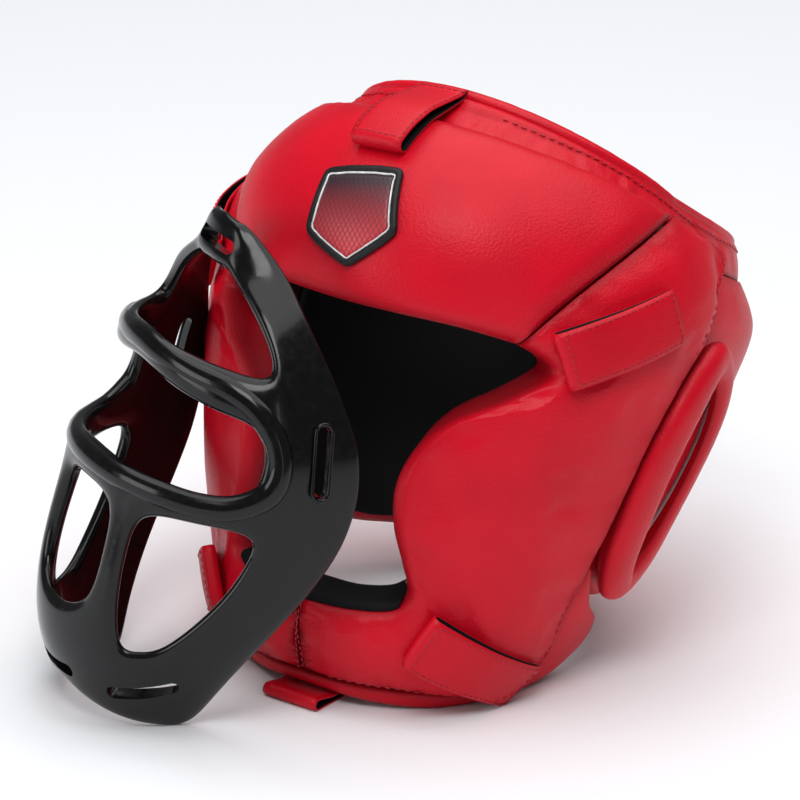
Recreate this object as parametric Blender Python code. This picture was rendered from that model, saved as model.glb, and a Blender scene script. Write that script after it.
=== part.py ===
"""Boxing headgear with its face grill taken off and stood in front of it.

The padded guard is described in the frame of the wearer's head: +X is the
wearer's left, -Y is where the face looks, +Z is up. A point of its outer
surface is named by two values: the turn in degrees round the head (0 at the
face, 90 at the left ear, 180 at the nape) and the share of the height from the
lower edge (0) to the crown's rim (1). Pads, linings and straps are laid on
that surface. The guard is then tipped nose up, so that it rests on its jaw
and its nape, and the grill stands on its lip in front of it.
"""

import math

import bmesh
import bpy
from mathutils import Vector
from mathutils.bvhtree import BVHTree

# Driving dimensions of the guard, in metres
HALF_WIDTH = 0.123          # widest, above the ears
FRONT_REACH = 0.130         # ear line to forehead
BACK_REACH = 0.124          # ear line to the back of the head
CHIN_LEVEL = -0.004         # lower edge at the chin
NAPE_LEVEL = 0.046          # lower edge at the nape
RIM_FRONT = 0.263           # crown rim above the forehead
RIM_BACK = 0.217            # crown rim at the back
PAD_DEPTH = 0.026           # forehead and cheek padding
BACK_DEPTH = 0.016          # back padding
FLAP_DEPTH = 0.012          # thin panels behind the jaw and under the chin
LINING = 0.002              # smooth black lining
SKIN = 0.003                # crown band's leather wall
RIM_RADIUS = 0.0034         # rolled edge of the crown
EDGE_ROUND = 0.008          # rounding at a pad's free edge
SEAM_ROUND = 0.005          # rounding down to a seam
PUFF = 0.003                # how far padding swells between its seams
BACK_RECESS = 0.012         # back padding lies lower than the cheek padding
GAP = 0.0003                # clearance between pieces that touch
LINING_GAP = 0.0007         # clearance between a pad and its lining
LINING_EDGE = 0.0015        # how far a lining stops short of a seam
STRAP_GAP = 0.0011          # clearance under a strap and its folded end
SEAM_GAP = 0.0006           # clearance across a curved seam
FLAP_GAP = 0.0024           # clearance across the jaw seam, which turns a corner
EAR_TUBE_WIDTH = 0.019      # roll round the ear, across
EAR_TUBE_HEIGHT = 0.014     # roll round the ear, outward
EAR_TUBE_RISE = 0.0026      # roll's foot above the back padding's own level
EAR_TUBE_THIN = 0.4         # least share of the roll's width, where it is hidden
FLAP_RECESS = 0.003         # jaw panels lie lower than the cheek padding
FLAP_ROUNDS = (0.001, 0.003)        # rounding at their seam and at their free edge
FLAP_PUFF = 0.001
BAND_RECESS = 0.002         # band under the chin lies lower than the chin's padding
BAND_ROUNDS = (0.004, 0.002)        # rounding at its lower and upper edge
BAND_PUFF = 0.0005
BACK_PUFF = 0.002
CROWN_SINK = 0.006          # crown band lies lower than the padding
CROWN_FOOT = 0.0025         # height share from the padding's top edge to the crown band
RIM_DIP = 0.03              # height share that the rim falls towards the back
STRAP_SKIN = 0.0015         # one layer of a strap
STRAP_LOOP = 0.0042         # open height of a strap's folded end
STRAP_SEWN = 0.15           # share of a strap's length where its layers close up
CHIN_STRAP_WIDTH = 0.029
CHIN_STRAP_LENGTH = 0.042
CHIN_STRAP_FRONT = -0.0950  # where its fold starts to bend
CHIN_STRAP_LOOP = 0.0032    # open height of its fold
BADGE_WIDTH = 0.042
BADGE_HEIGHT = 0.041
BADGE_THICK = 0.003
BADGE_LEVEL = 0.757         # height share of the badge's middle
REST_PITCH = math.radians(18.0)     # nose up when it stands on jaw and nape
SETTLE = 0.0015             # how much soft padding is pressed flat on the floor
SHARP_ANGLE = math.radians(50.0)    # edges sharper than this aren't shaded smooth

# Driving dimensions of the grill, in metres
GRILL_HEIGHT = 0.226
GRILL_HALF_WIDTH = 0.080
GRILL_REACH = 0.111         # frontmost bar to rearmost wing
GRILL_WALL = 0.0042
BAR_WALL = 0.0105           # tubular bars, thicker than the wings
SLOT_LENGTH = 0.032
SLOT_WIDTH = 0.0065
GRILL_TURN = math.radians(-28.5)    # turned to the wearer's right of the guard
GRILL_PLACE = (-0.0812, -0.1670)    # front of its lip, from the guard's middle

# Height share, then half width, front and back reach as shares of the three
# driving reaches, and how much fuller the back corners are: the outer form
# from under the jaw to the rim
FORM = [
    # height  half   front  back   corner
    (-0.16, 0.53, 0.58, 0.61, 0.00),
    (0.00, 0.66, 0.71, 0.74, 0.00),
    (0.08, 0.72, 0.80, 0.80, 0.00),
    (0.25, 0.85, 0.885, 0.90, 0.00),
    (0.45, 0.95, 0.955, 0.965, 0.00),
    (0.62, 0.99, 1.00, 0.99, 0.04),
    (0.78, 0.955, 0.985, 0.995, 0.11),
    (0.90, 0.845, 0.84, 0.97, 0.12),
    (1.00, 0.68, 0.60, 0.93, 0.12),
]

# Face opening's edge from the brow's end round the cheek to the chin's middle:
# turn in degrees and height share
FACE_EDGE = [
    # turn  height
    (39.5, 0.630),
    (46.0, 0.612),
    (47.5, 0.585),
    (39.5, 0.530),
    (29.0, 0.475),
    (23.0, 0.420),
    (20.0, 0.350),
    (21.5, 0.280),
    (26.0, 0.215),
    (29.5, 0.165),
    (26.0, 0.137),
    (14.0, 0.128),
    (0.0, 0.128),
]

# Side pad's other edge, row for row: along the pad's top, down the rear seam,
# round the jaw's bottom to the chin's middle
REAR_EDGE = [
    # turn  height
    (78.0, 0.930),
    (97.0, 0.895),
    (90.5, 0.830),
    (85.5, 0.730),
    (79.5, 0.630),
    (76.0, 0.530),
    (74.5, 0.420),
    (74.0, 0.300),
    (74.0, 0.180),
    (76.0, 0.020),
    (60.0, -0.025),
    (32.0, -0.008),
    (0.0, 0.000),
]

# How far the side pad's first rows bow upward, which follows the slanted seam
SIDE_BOWS = [0.035, 0.018]

# Forehead pad, from the wearer's left seam to the middle: brow and top edge
FOREHEAD = [
    # brow turn, brow height, top turn, top height, bow
    (39.5, 0.630, 78.0, 0.930, 0.035),
    (27.0, 0.624, 54.0, 0.940, 0.010),
    (13.0, 0.614, 27.0, 0.940, 0.0),
    (0.0, 0.610, 0.0, 0.940, 0.0),
]

# Thin panel behind the jaw seam: seam side and outer edge
FLAP_EDGES = [
    # seam turn, height, outer turn, outer height
    (74.2, 0.235, 76.4, 0.222),
    (74.3, 0.170, 85.0, 0.135),
    (74.6, 0.105, 95.0, 0.080),
    (76.2, 0.050, 98.0, 0.015),
    (74.5, 0.000, 88.0, -0.035),
    (66.0, -0.015, 72.0, -0.055),
]

# Narrow band under the chin's bottom crease, from the left end to the middle
CHIN_BAND = [
    # lower turn, lower height, upper turn, upper height
    (61.0, -0.050, 58.0, -0.028),
    (45.0, -0.052, 44.0, -0.018),
    (24.0, -0.040, 24.0, -0.008),
    (0.0, -0.028, 0.0, -0.004),
]

# Back pad, from the rear seam to the nape's middle: lower and top edge
BACK_EDGES = [
    # lower turn, lower height, top turn, top height
    (76.0, 0.250, 97.0, 0.895),
    (88.0, 0.135, 110.0, 0.885),
    (112.0, 0.060, 125.0, 0.875),
    (148.0, 0.000, 150.0, 0.875),
    (180.0, -0.140, 180.0, 0.875),
]

# Top edge of all the padding, from the face to the nape
PAD_TOP = [
    # turn  height
    (0.0, 0.940),
    (54.0, 0.940),
    (78.0, 0.936),
    (90.0, 0.925),
    (100.0, 0.900),
    (125.0, 0.880),
    (180.0, 0.880),
]

# Middle line of the roll round the left ear, and how thick it is there
EAR_LINE = [
    # turn  height  size
    (80.2, 0.420, 1.00),
    (82.2, 0.550, 1.00),
    (87.0, 0.650, 0.95),
    (93.0, 0.685, 0.80),
    (99.5, 0.630, 0.60),
    (103.0, 0.500, 0.50),
    (102.5, 0.340, 0.50),
    (98.5, 0.220, 0.70),
    (90.5, 0.180, 0.90),
    (82.5, 0.260, 1.00),
]

# Upper layer of the strap under the chin, from its fold to its end
CHIN_STRAP_TOP = [
    # share of its length, height of the layer's middle over the floor
    (0.00, 0.00545),
    (0.26, 0.00345),
    (0.50, 0.00330),
    (0.75, 0.00290),
    (1.00, 0.00260),
]

# Shield shape of the badge from its tip to its top
BADGE_OUTLINE = [
    # share of its height, share of its half width
    (0.00, 0.08),
    (0.09, 0.36),
    (0.22, 0.74),
    (0.32, 0.97),
    (0.38, 1.00),
    (0.65, 0.94),
    (0.93, 0.88),
    (1.00, 0.80),
]

# Straps: the sewn end's two corners and the folded end's two corners
STRAPS = {
    # name: sewn turn, height, sewn turn, height, fold turn, height, fold turn, height
    "cheek": (70.5, 0.820, 74.5, 0.730, 47.0, 0.695, 52.5, 0.605),
    "jaw": (75.0, 0.020, 67.0, -0.048, 40.0, 0.130, 35.0, 0.035),
    "top": (8.5, 1.000, -8.5, 1.000, 6.5, 0.860, -6.5, 0.860),
}

# Grill sections from its peak to its lip, as shares of its height, reach and
# half width: level and reach back at the middle, half width, then level and
# reach back at the wing's rear edge. Reach back is counted from the lip's front.
GRILL_ROWS = [
    # middle level, middle back, half width, wing level, wing back
    (0.996, 0.69, 0.15, 0.987, 0.72),
    (0.935, 0.67, 0.31, 0.935, 0.80),
    (0.886, 0.60, 0.45, 0.891, 0.84),
    (0.830, 0.48, 0.60, 0.838, 0.86),
    (0.782, 0.35, 0.71, 0.795, 0.88),
    (0.725, 0.315, 0.84, 0.725, 0.93),
    (0.638, 0.21, 0.95, 0.638, 0.98),
    (0.555, 0.11, 1.00, 0.563, 1.00),
    (0.489, 0.08, 1.00, 0.493, 0.98),
    (0.349, 0.02, 0.96, 0.389, 0.91),
    (0.205, 0.00, 0.86, 0.266, 0.76),
    (0.140, 0.036, 0.70, 0.144, 0.60),
    (0.083, 0.10, 0.49, 0.004, 0.48),
]

# Cage of the grill: the section row at the middle and at the rear of the
# openings, the turn of each column, and the wall there
GRILL_CAGE = [
    # middle row, rear row, turns of five columns, wall at the front
    (0.00, 0.00, 15, 30, 45, 60, 72, 0.6),
    (0.90, 0.90, 12, 24, 36, 50, 66, 0.6),
    (1.70, 1.80, 8, 15, 21, 27, 58, 0.9),
    (2.40, 2.40, 14, 24, 35, 46, 66, 0.9),
    (3.20, 3.30, 16, 30, 46, 62, 73, 0.9),
    (3.95, 4.85, 18, 32, 50, 67, 75, 1.0),
    (5.05, 5.80, 18, 32, 48, 62, 73, 1.0),
    (6.00, 6.60, 18, 32, 48, 65, 73, 1.0),
    (6.90, 7.70, 18, 30, 46, 62, 72, 1.0),
    (8.05, 8.40, 17, 26, 45, 64, 72, 1.0),
    (8.90, 8.90, 19, 27, 45, 64, 73, 0.8),
    (9.75, 9.60, 21, 31, 47, 63, 73, 0.7),
    (10.60, 10.50, 20, 38, 46, 54, 70, 0.6),
    (11.45, 11.35, 18, 34, 46, 57, 70, 0.4),
    (12.00, 12.00, 18, 34, 46, 58, 72, 0.4),
]

# Openings of the grill by cage row and column, on the left half
GRILL_OPENINGS = [
    # first row, last row, first column, last column
    (2, 5, 0, 4),
    (6, 8, 0, 4),
    (9, 11, 0, 1),
    (9, 12, 2, 4),
]

# Strap slots of the grill: turn, section row and slant from level in degrees
GRILL_SLOTS = [
    # turn, row, slant
    (0.0, 0.95, 0.0),
    (0.0, 11.45, 0.0),
    (80.0, 6.65, 90.0),
    (-80.0, 6.65, 90.0),
    (54.0, 11.3, 14.0),
    (-54.0, 11.3, -14.0),
]

RED = (0.60, 0.012, 0.030, 1.0)
BLACK = (0.012, 0.012, 0.013, 1.0)


def material(name, colour, roughness, metallic=0.0):
    """A Principled material with one colour."""
    made = bpy.data.materials.new(name)
    made.use_nodes = True
    shader = made.node_tree.nodes["Principled BSDF"]
    shader.inputs["Base Color"].default_value = colour
    shader.inputs["Roughness"].default_value = roughness
    shader.inputs["Metallic"].default_value = metallic
    made.diffuse_color = colour
    return made


def smooth_through(table, place):
    """Reads a table at a fractional row, smoothly through its rows."""
    last = len(table) - 1
    place = min(max(place, 0.0), float(last))
    row = min(int(place), last - 1)
    part = place - row
    before = table[max(row - 1, 0)]
    start = table[row]
    end = table[row + 1]
    after = table[min(row + 2, last)]
    values = []
    for b, s, e, a in zip(before, start, end, after):
        into = (e - b) / 2
        out = (a - s) / 2
        values.append((2 * part ** 3 - 3 * part ** 2 + 1) * s
                      + (part ** 3 - 2 * part ** 2 + part) * into
                      + (3 * part ** 2 - 2 * part ** 3) * e
                      + (part ** 3 - part ** 2) * out)
    return values


def form_row(height):
    """Half width, front reach, back reach and corner fullness at a height share."""
    height = min(max(height, FORM[0][0]), FORM[-1][0])
    row = 0
    while row < len(FORM) - 2 and height > FORM[row + 1][0]:
        row += 1
    low, high = FORM[row], FORM[row + 1]
    span = high[0] - low[0]
    part = (height - low[0]) / span
    before = FORM[max(row - 1, 0)]
    after = FORM[min(row + 2, len(FORM) - 1)]
    result = []
    for column in (1, 2, 3, 4):
        into = (high[column] - before[column]) / (high[0] - before[0]) * span
        out = (after[column] - low[column]) / (after[0] - low[0]) * span
        result.append((2 * part ** 3 - 3 * part ** 2 + 1) * low[column]
                      + (part ** 3 - 2 * part ** 2 + part) * into
                      + (3 * part ** 2 - 2 * part ** 3) * high[column]
                      + (part ** 3 - part ** 2) * out)
    return result


def surface(turn, height):
    """Point of the outer form for a turn in degrees and a height share."""
    angle = math.radians(turn)
    rear = (1 - math.cos(angle)) / 2
    bottom = CHIN_LEVEL + (NAPE_LEVEL - CHIN_LEVEL) * rear
    top = RIM_FRONT + (RIM_BACK - RIM_FRONT) * rear
    half, front, back, corner = form_row(height)
    if math.cos(angle) > 0:
        reach = front * FRONT_REACH
        fuller = 1.0
    else:
        reach = back * BACK_REACH
        fuller = 1 + corner * math.sin(2 * angle) ** 2
    return Vector((half * HALF_WIDTH * math.sin(angle) * fuller,
                   -reach * math.cos(angle) * fuller,
                   bottom + height * (top - bottom)))


def outward(turn, height):
    """Unit vector that points out of the form."""
    step = 1.0
    rise = 0.008
    along = surface(turn + step, height) - surface(turn - step, height)
    up = surface(turn, height + rise) - surface(turn, height - rise)
    return along.cross(up).normalized()


def lifted(turn, height, offset):
    """Point at an offset outside the form, or inside it when negative."""
    return surface(turn, height) + outward(turn, height) * offset


def mesh_object(name, vertices, faces, look, parent=None):
    """A smooth-shaded object whose faces all point out."""
    shape = bmesh.new()
    made = [shape.verts.new(vertex) for vertex in vertices]
    for face in faces:
        shape.faces.new([made[index] for index in face])
    bmesh.ops.recalc_face_normals(shape, faces=shape.faces)
    mesh = bpy.data.meshes.new(name)
    shape.to_mesh(mesh)
    shape.free()
    mesh.shade_smooth()
    mesh.set_sharp_from_angle(angle=SHARP_ANGLE)
    mesh.materials.append(look)
    item = bpy.data.objects.new(name, mesh)
    bpy.context.collection.objects.link(item)
    item.parent = parent
    return item


def settled(point, lift):
    """Presses a point of the guard flat where it would pass the floor."""
    depth = point.z * math.cos(REST_PITCH) - point.y * math.sin(REST_PITCH) + lift
    if depth < 0:
        up = Vector((0, -math.sin(REST_PITCH), math.cos(REST_PITCH)))
        return point - up * depth
    return point


def boxed_faces(rows, columns):
    """Faces of a closed slab: an outer grid, an inner grid and its four walls."""
    def outer(row, column):
        return row * columns + column

    def inner(row, column):
        return rows * columns + row * columns + column

    faces = []
    for row in range(rows - 1):
        for column in range(columns - 1):
            for side in (outer, inner):
                faces.append((side(row, column), side(row, column + 1),
                              side(row + 1, column + 1), side(row + 1, column)))
        for column in (0, columns - 1):
            faces.append((outer(row, column), outer(row + 1, column),
                          inner(row + 1, column), inner(row, column)))
    for row in (0, rows - 1):
        for column in range(columns - 1):
            faces.append((outer(row, column), outer(row, column + 1),
                          inner(row, column + 1), inner(row, column)))
    return faces


def stations(width, round_a, round_b, middles, corner):
    """Places across a pad: share, drop of the outer side and swelling share."""
    places = []
    for angle in corner:
        turn = math.radians(angle)
        places.append((round_a * (1 - math.cos(turn)) / width, round_a * (1 - math.sin(turn))))
    start = places[-1][0]
    end = 1 - round_b / width
    for index in range(1, middles + 1):
        places.append((start + (end - start) * index / (middles + 1), 0.0))
    for angle in reversed(corner):
        turn = math.radians(angle)
        places.append((1 - round_b * (1 - math.cos(turn)) / width, round_b * (1 - math.sin(turn))))
    return [(share, drop, math.sin(math.pi * share) ** 0.7) for share, drop in places]


def row_width(row):
    """Length over the form from one edge of a row to the other."""
    steps = 6
    total = 0.0
    spot = surface(row[0], row[1])
    for index in range(1, steps + 1):
        part = index / steps
        following = surface(row[0] + (row[2] - row[0]) * part, row[1] + (row[3] - row[1]) * part)
        total += (following - spot).length
        spot = following
    return total


def pad(name, rows, look, parent, depth, level=0.0, rounds=(EDGE_ROUND, EDGE_ROUND),
        end_drops=None, puff=PUFF, middles=3, edge_gap=(0.0, 0.0), lift=None, seam=None,
        corner=(0.0, 45.0, 90.0), flat=False):
    """Padding laid across the rows of its two edges.

    A row is (turn, height) of edge A and of edge B. The outer side is rounded
    down at both edges, swells between them and drops at the rows that
    end_drops lists. The inner side keeps the depth. A flat pad isn't rounded.
    """
    end_drops = end_drops or [0.0] * len(rows)
    outer_points = []
    inner_points = []
    for row, end_drop in zip(rows, end_drops):
        width = row_width(row)
        for share, drop, swell in stations(width, rounds[0], rounds[1], middles, corner):
            inset = (edge_gap[0] / width) * (1 - share) - (edge_gap[1] / width) * share
            place = share + inset
            turn = row[0] + (row[2] - row[0]) * place
            height = row[1] + (row[3] - row[1]) * place
            if len(row) > 4:
                height += row[4] * 4 * place * (1 - place)
            if seam:
                turn = seam(row, place, turn, height)
            fade = max(0.0, 1 - end_drop / SEAM_ROUND)
            fall = 0.0 if flat else max(drop, end_drop)
            outer = lifted(turn, height, level - fall + puff * swell * fade)
            inner = lifted(turn, height, level - depth)
            if lift is not None:
                outer = settled(outer, lift)
                inner = settled(inner, lift - GAP)
            outer_points.append(outer)
            inner_points.append(inner)
    columns = len(outer_points) // len(rows)
    return mesh_object(name, outer_points + inner_points, boxed_faces(len(rows), columns),
                       look, parent)


def end_rows(table, steps, seams=(True, True), start_gap=SEAM_GAP / 2, end_gap=SEAM_GAP / 2):
    """Rows read smoothly through a table, with rounded drops at its seamed ends."""
    last = len(table) - 1

    def middle(place):
        row = smooth_through(table, place)
        return surface((row[0] + row[2]) / 2, (row[1] + row[3]) / 2)

    first_length = (middle(0.2) - middle(0.0)).length / 0.2
    last_length = (middle(last) - middle(last - 0.2)).length / 0.2
    places = []
    start = 0.0
    end = float(last)
    if seams[0]:
        for angle in (0.0, 45.0, 90.0):
            turn = math.radians(angle)
            away = start_gap + SEAM_ROUND * (1 - math.cos(turn))
            places.append((away / first_length, SEAM_ROUND * (1 - math.sin(turn))))
        start = places[-1][0]
    else:
        places.append((0.0, 0.0))
    tail = []
    if seams[1]:
        for angle in (90.0, 45.0, 0.0):
            turn = math.radians(angle)
            away = end_gap + SEAM_ROUND * (1 - math.cos(turn))
            tail.append((last - away / last_length, SEAM_ROUND * (1 - math.sin(turn))))
        end = tail[0][0]
    else:
        tail.append((float(last), 0.0))
    for index in range(1, steps):
        places.append((start + (end - start) * index / steps, 0.0))
    places += tail
    rows = [smooth_through(table, place) for place, drop in places]
    drops = [drop for place, drop in places]
    return rows, drops


def mirrored_table(table):
    """A table from the left edge to the middle, carried on to the right edge."""
    middle = table[-1][0]
    other = [(2 * middle - row[0], row[1], 2 * middle - row[2]) + row[3:]
             for row in reversed(table[:-1])]
    return table + other


def side_table(sign):
    """Rows of a side pad from the slanted seam to the chin's middle."""
    bows = SIDE_BOWS + [0.0] * (len(REAR_EDGE) - len(SIDE_BOWS))
    return [(sign * a[0], a[1], sign * b[0], b[1], bow)
            for a, b, bow in zip(FACE_EDGE, REAR_EDGE, bows)]


def seam_turn(height):
    """Turn of the rear seam at a height share, on the wearer's left."""
    halvings = 30
    low = 1.0       # the seam's top, as a place in the table
    high = 9.6      # round the jaw's corner, below the seam
    for _ in range(halvings):
        middle = (low + high) / 2
        if smooth_through(REAR_EDGE, middle)[1] > height:
            low = middle
        else:
            high = middle
    return smooth_through(REAR_EDGE, low)[0]


def back_seam(row, place, turn, height):
    """Bends the back pad's first rows along the side pad's rear seam."""
    reach = 30.0
    fade = 1.5
    side = 1.0 if turn <= 180.0 else -1.0
    first = BACK_EDGES[0]
    row_start = min(row[0], 360.0 - row[0])
    near = max(0.0, 1 - (row_start - first[0]) / reach)
    straight = first[0] + (first[2] - first[0]) * place
    true = seam_turn(first[1] + (first[3] - first[1]) * place)
    return turn + side * (true - straight) * near ** fade


def ring_tube(name, line, across, outwards, level, look, parent, steps, sides):
    """A closed roll of oval section along a closed line on the form."""
    count = len(line)
    step_aside = 0.05
    closed = [line[-1]] + list(line) + [line[0], line[1]]
    points = []
    for step in range(steps):
        place = 1 + step * count / steps
        turn, height, size = smooth_through(closed, place)
        ahead = smooth_through(closed, place + step_aside)
        behind = smooth_through(closed, place - step_aside)
        normal = outward(turn, height)
        along = (surface(*ahead[:2]) - surface(*behind[:2])).normalized()
        side = along.cross(normal).normalized()
        rise = outwards * size
        spread = across * (EAR_TUBE_THIN + (1 - EAR_TUBE_THIN) * size)
        centre = surface(turn, height) + normal * (level + rise / 2)
        for corner in range(sides):
            angle = 2 * math.pi * corner / sides
            points.append(centre + side * math.cos(angle) * spread / 2
                          + normal * math.sin(angle) * rise / 2)
    faces = []
    for step in range(steps):
        for corner in range(sides):
            following = (step + 1) % steps
            beside = (corner + 1) % sides
            faces.append((step * sides + corner, step * sides + beside,
                          following * sides + beside, following * sides + corner))
    return mesh_object(name, points, faces, look, parent)


def pad_top(turn):
    """Height share of the pads' top edge at a turn."""
    turn = abs((turn + 180.0) % 360.0 - 180.0)
    for low, high in zip(PAD_TOP, PAD_TOP[1:]):
        if turn <= high[0]:
            return low[1] + (high[1] - low[1]) * (turn - low[0]) / (high[0] - low[0])
    return PAD_TOP[-1][1]


def rim_height(turn):
    """Height share of the crown's rim at a turn."""
    rear = (1 - math.cos(math.radians(turn))) / 2
    return 1.0 - RIM_DIP * rear


def crown_band(look, parent):
    """Thin leather wall from behind the pads' top edge up to the rim."""
    steps = 32
    levels = 3
    points = []
    for offset in (-CROWN_SINK, -CROWN_SINK - SKIN):
        for step in range(steps):
            turn = 360.0 * step / steps
            low = pad_top(turn) + CROWN_FOOT
            high = rim_height(turn)
            for level in range(levels):
                height = low + (high - low) * level / (levels - 1)
                points.append(lifted(turn, height, offset))
    faces = []

    def at(layer, step, level):
        return (layer * steps + step % steps) * levels + level

    for step in range(steps):
        for level in range(levels - 1):
            for layer in (0, 1):
                faces.append((at(layer, step, level), at(layer, step + 1, level),
                              at(layer, step + 1, level + 1), at(layer, step, level + 1)))
        for level in (0, levels - 1):
            faces.append((at(0, step, level), at(0, step + 1, level),
                          at(1, step + 1, level), at(1, step, level)))
    return mesh_object("crown_band", points, faces, look, parent)


def crown_rim(look, parent):
    """Rolled edge along the top of the crown band."""
    steps = 32
    sides = 6
    sink = CROWN_SINK + SKIN / 2
    points = []
    for step in range(steps):
        turn = 360.0 * step / steps
        height = rim_height(turn)
        normal = outward(turn, height)
        up = (surface(turn, height) - surface(turn, height - 0.02)).normalized()
        centre = lifted(turn, height, -sink) + up * (RIM_RADIUS + GAP)
        for corner in range(sides):
            angle = 2 * math.pi * (corner + 0.5) / sides - math.pi / 2
            points.append(centre + normal * math.cos(angle) * RIM_RADIUS
                          + up * math.sin(angle) * RIM_RADIUS)
    faces = []
    for step in range(steps):
        for corner in range(sides):
            following = (step + 1) % steps
            beside = (corner + 1) % sides
            faces.append((step * sides + corner, step * sides + beside,
                          following * sides + beside, following * sides + corner))
    return mesh_object("crown_rim", points, faces, look, parent)


def tree_of(items):
    """One search tree over the meshes of some objects, in the guard's frame."""
    vertices = []
    polygons = []
    for item in items:
        first = len(vertices)
        vertices += [vertex.co.copy() for vertex in item.data.vertices]
        polygons += [[first + index for index in polygon.vertices]
                     for polygon in item.data.polygons]
    return BVHTree.FromPolygons(vertices, polygons)


def seat_height(tree, turn, height):
    """How far outside the form the outermost piece lies."""
    normal = outward(turn, height)
    reach = 0.05
    bare = -0.02
    start = surface(turn, height) + normal * reach
    hit = tree.ray_cast(start, -normal, 2 * reach)
    if hit[0] is None:
        return bare
    return reach - hit[3]


def folded_strap(name, corners, tree, look, parent, lift):
    """A strap folded into a flat loop, sewn down at one end."""
    steps = 7
    across = 3
    sewn = ((corners[0], corners[1]), (corners[2], corners[3]))
    fold = ((corners[4], corners[5]), (corners[6], corners[7]))

    def spot(along, side):
        start = [sewn[0][axis] + (sewn[1][axis] - sewn[0][axis]) * side for axis in (0, 1)]
        end = [fold[0][axis] + (fold[1][axis] - fold[0][axis]) * side for axis in (0, 1)]
        return [start[axis] + (end[axis] - start[axis]) * along for axis in (0, 1)]

    length = sum((surface(*spot((i + 1) / 8, 0.5)) - surface(*spot(i / 8, 0.5))).length
                 for i in range(8))
    seat = []
    for step in range(steps + 2):
        along = step / steps
        seat.append(max(seat_height(tree, *spot(along, side / 8)) for side in range(-1, 10)))
    for _ in range(40):
        for step in range(1, steps + 1):
            seat[step] = max(seat[step], (seat[step - 1] + seat[step + 1]) / 2)

    def seat_at(along):
        place = min(max(along, 0.0) * steps, steps + 0.999)
        row = int(place)
        return seat[row] + (seat[row + 1] - seat[row]) * (place - row)

    half = STRAP_SKIN / 2
    clearance = STRAP_GAP
    path = []
    for step in range(steps + 1):
        path.append((step / steps, half + clearance))
    bend = (STRAP_LOOP + STRAP_SKIN) / 2
    for angle in (-50.0, 0.0, 50.0):
        turn = math.radians(angle)
        path.append((1 + bend * math.cos(turn) / length, half + clearance + bend + bend * math.sin(turn)))
    for step in range(steps, -1, -1):
        along = step / steps
        open_share = min(1.0, along / (1 - STRAP_SEWN)) ** 0.8
        gap = GAP + (STRAP_LOOP - GAP) * open_share
        path.append((along, half + clearance + STRAP_SKIN + gap))
    count = len(path)
    rings = []
    for layer in (1, -1):
        for side in range(across):
            for index in range(count):
                before = path[index - 1]
                after = path[(index + 1) % count]
                run = Vector(((after[0] - before[0]) * length, after[1] - before[1]))
                run.normalize()
                share = path[index][0] + run.y * half * layer / length
                rise = path[index][1] - run.x * half * layer
                if index in (0, count - 1):
                    share = path[index][0] - layer * half / length
                    rise = path[index][1] + (layer * half if index else -layer * half)
                turn, height = spot(share, side / (across - 1))
                point = lifted(turn, height, seat_at(share) + rise)
                rings.append(settled(point, lift))
    faces = []

    def at(layer, side, index):
        return (layer * across + side) * count + index % count

    for index in range(count):
        for side in range(across - 1):
            for layer in (0, 1):
                faces.append((at(layer, side, index), at(layer, side, index + 1),
                              at(layer, side + 1, index + 1), at(layer, side + 1, index)))
        for side in (0, across - 1):
            faces.append((at(0, side, index), at(0, side, index + 1),
                          at(1, side, index + 1), at(1, side, index)))
    return mesh_object(name, rings, faces, look, parent)


def badge(tree, look, parent):
    """Rubber shield on the forehead."""
    columns = 7
    reach = 0.05
    rise = (surface(0.0, BADGE_LEVEL + reach) - surface(0.0, BADGE_LEVEL - reach)).length / (2 * reach)
    swing = math.degrees(1.0 / (form_row(BADGE_LEVEL)[0] * HALF_WIDTH))
    outer_points = []
    inner_points = []
    for up, half in BADGE_OUTLINE:
        for column in range(columns):
            across = -1 + 2 * column / (columns - 1)
            turn = across * half * BADGE_WIDTH / 2 * swing
            height = BADGE_LEVEL + (up - 0.5) * BADGE_HEIGHT / rise
            seat = seat_height(tree, turn, height) + 2 * GAP
            inner_points.append(lifted(turn, height, seat))
            outer_points.append(lifted(turn, height, seat + BADGE_THICK))
    return mesh_object("badge", outer_points + inner_points,
                       boxed_faces(len(BADGE_OUTLINE), columns), look, parent)


def lining(name, rows, depth, look, parent, lift, level=0.0, seam=None, middles=1,
           rounds=(EDGE_ROUND, EDGE_ROUND)):
    """Thin smooth layer inside a pad, on some of the pad's own stations."""
    return pad(name, rows, look, parent, LINING, level=level - depth - LINING_GAP,
               rounds=rounds, puff=0.0, middles=middles, seam=seam, corner=(0.0, 90.0), flat=True,
               edge_gap=(0.0, LINING_EDGE), lift=lift - 2 * GAP)


def from_floor(x, y, z, lift):
    """Point of the guard's frame for a point given above the floor."""
    rise = z - lift
    return Vector((x, y * math.cos(REST_PITCH) - rise * math.sin(REST_PITCH),
                   y * math.sin(REST_PITCH) + rise * math.cos(REST_PITCH)))


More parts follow.
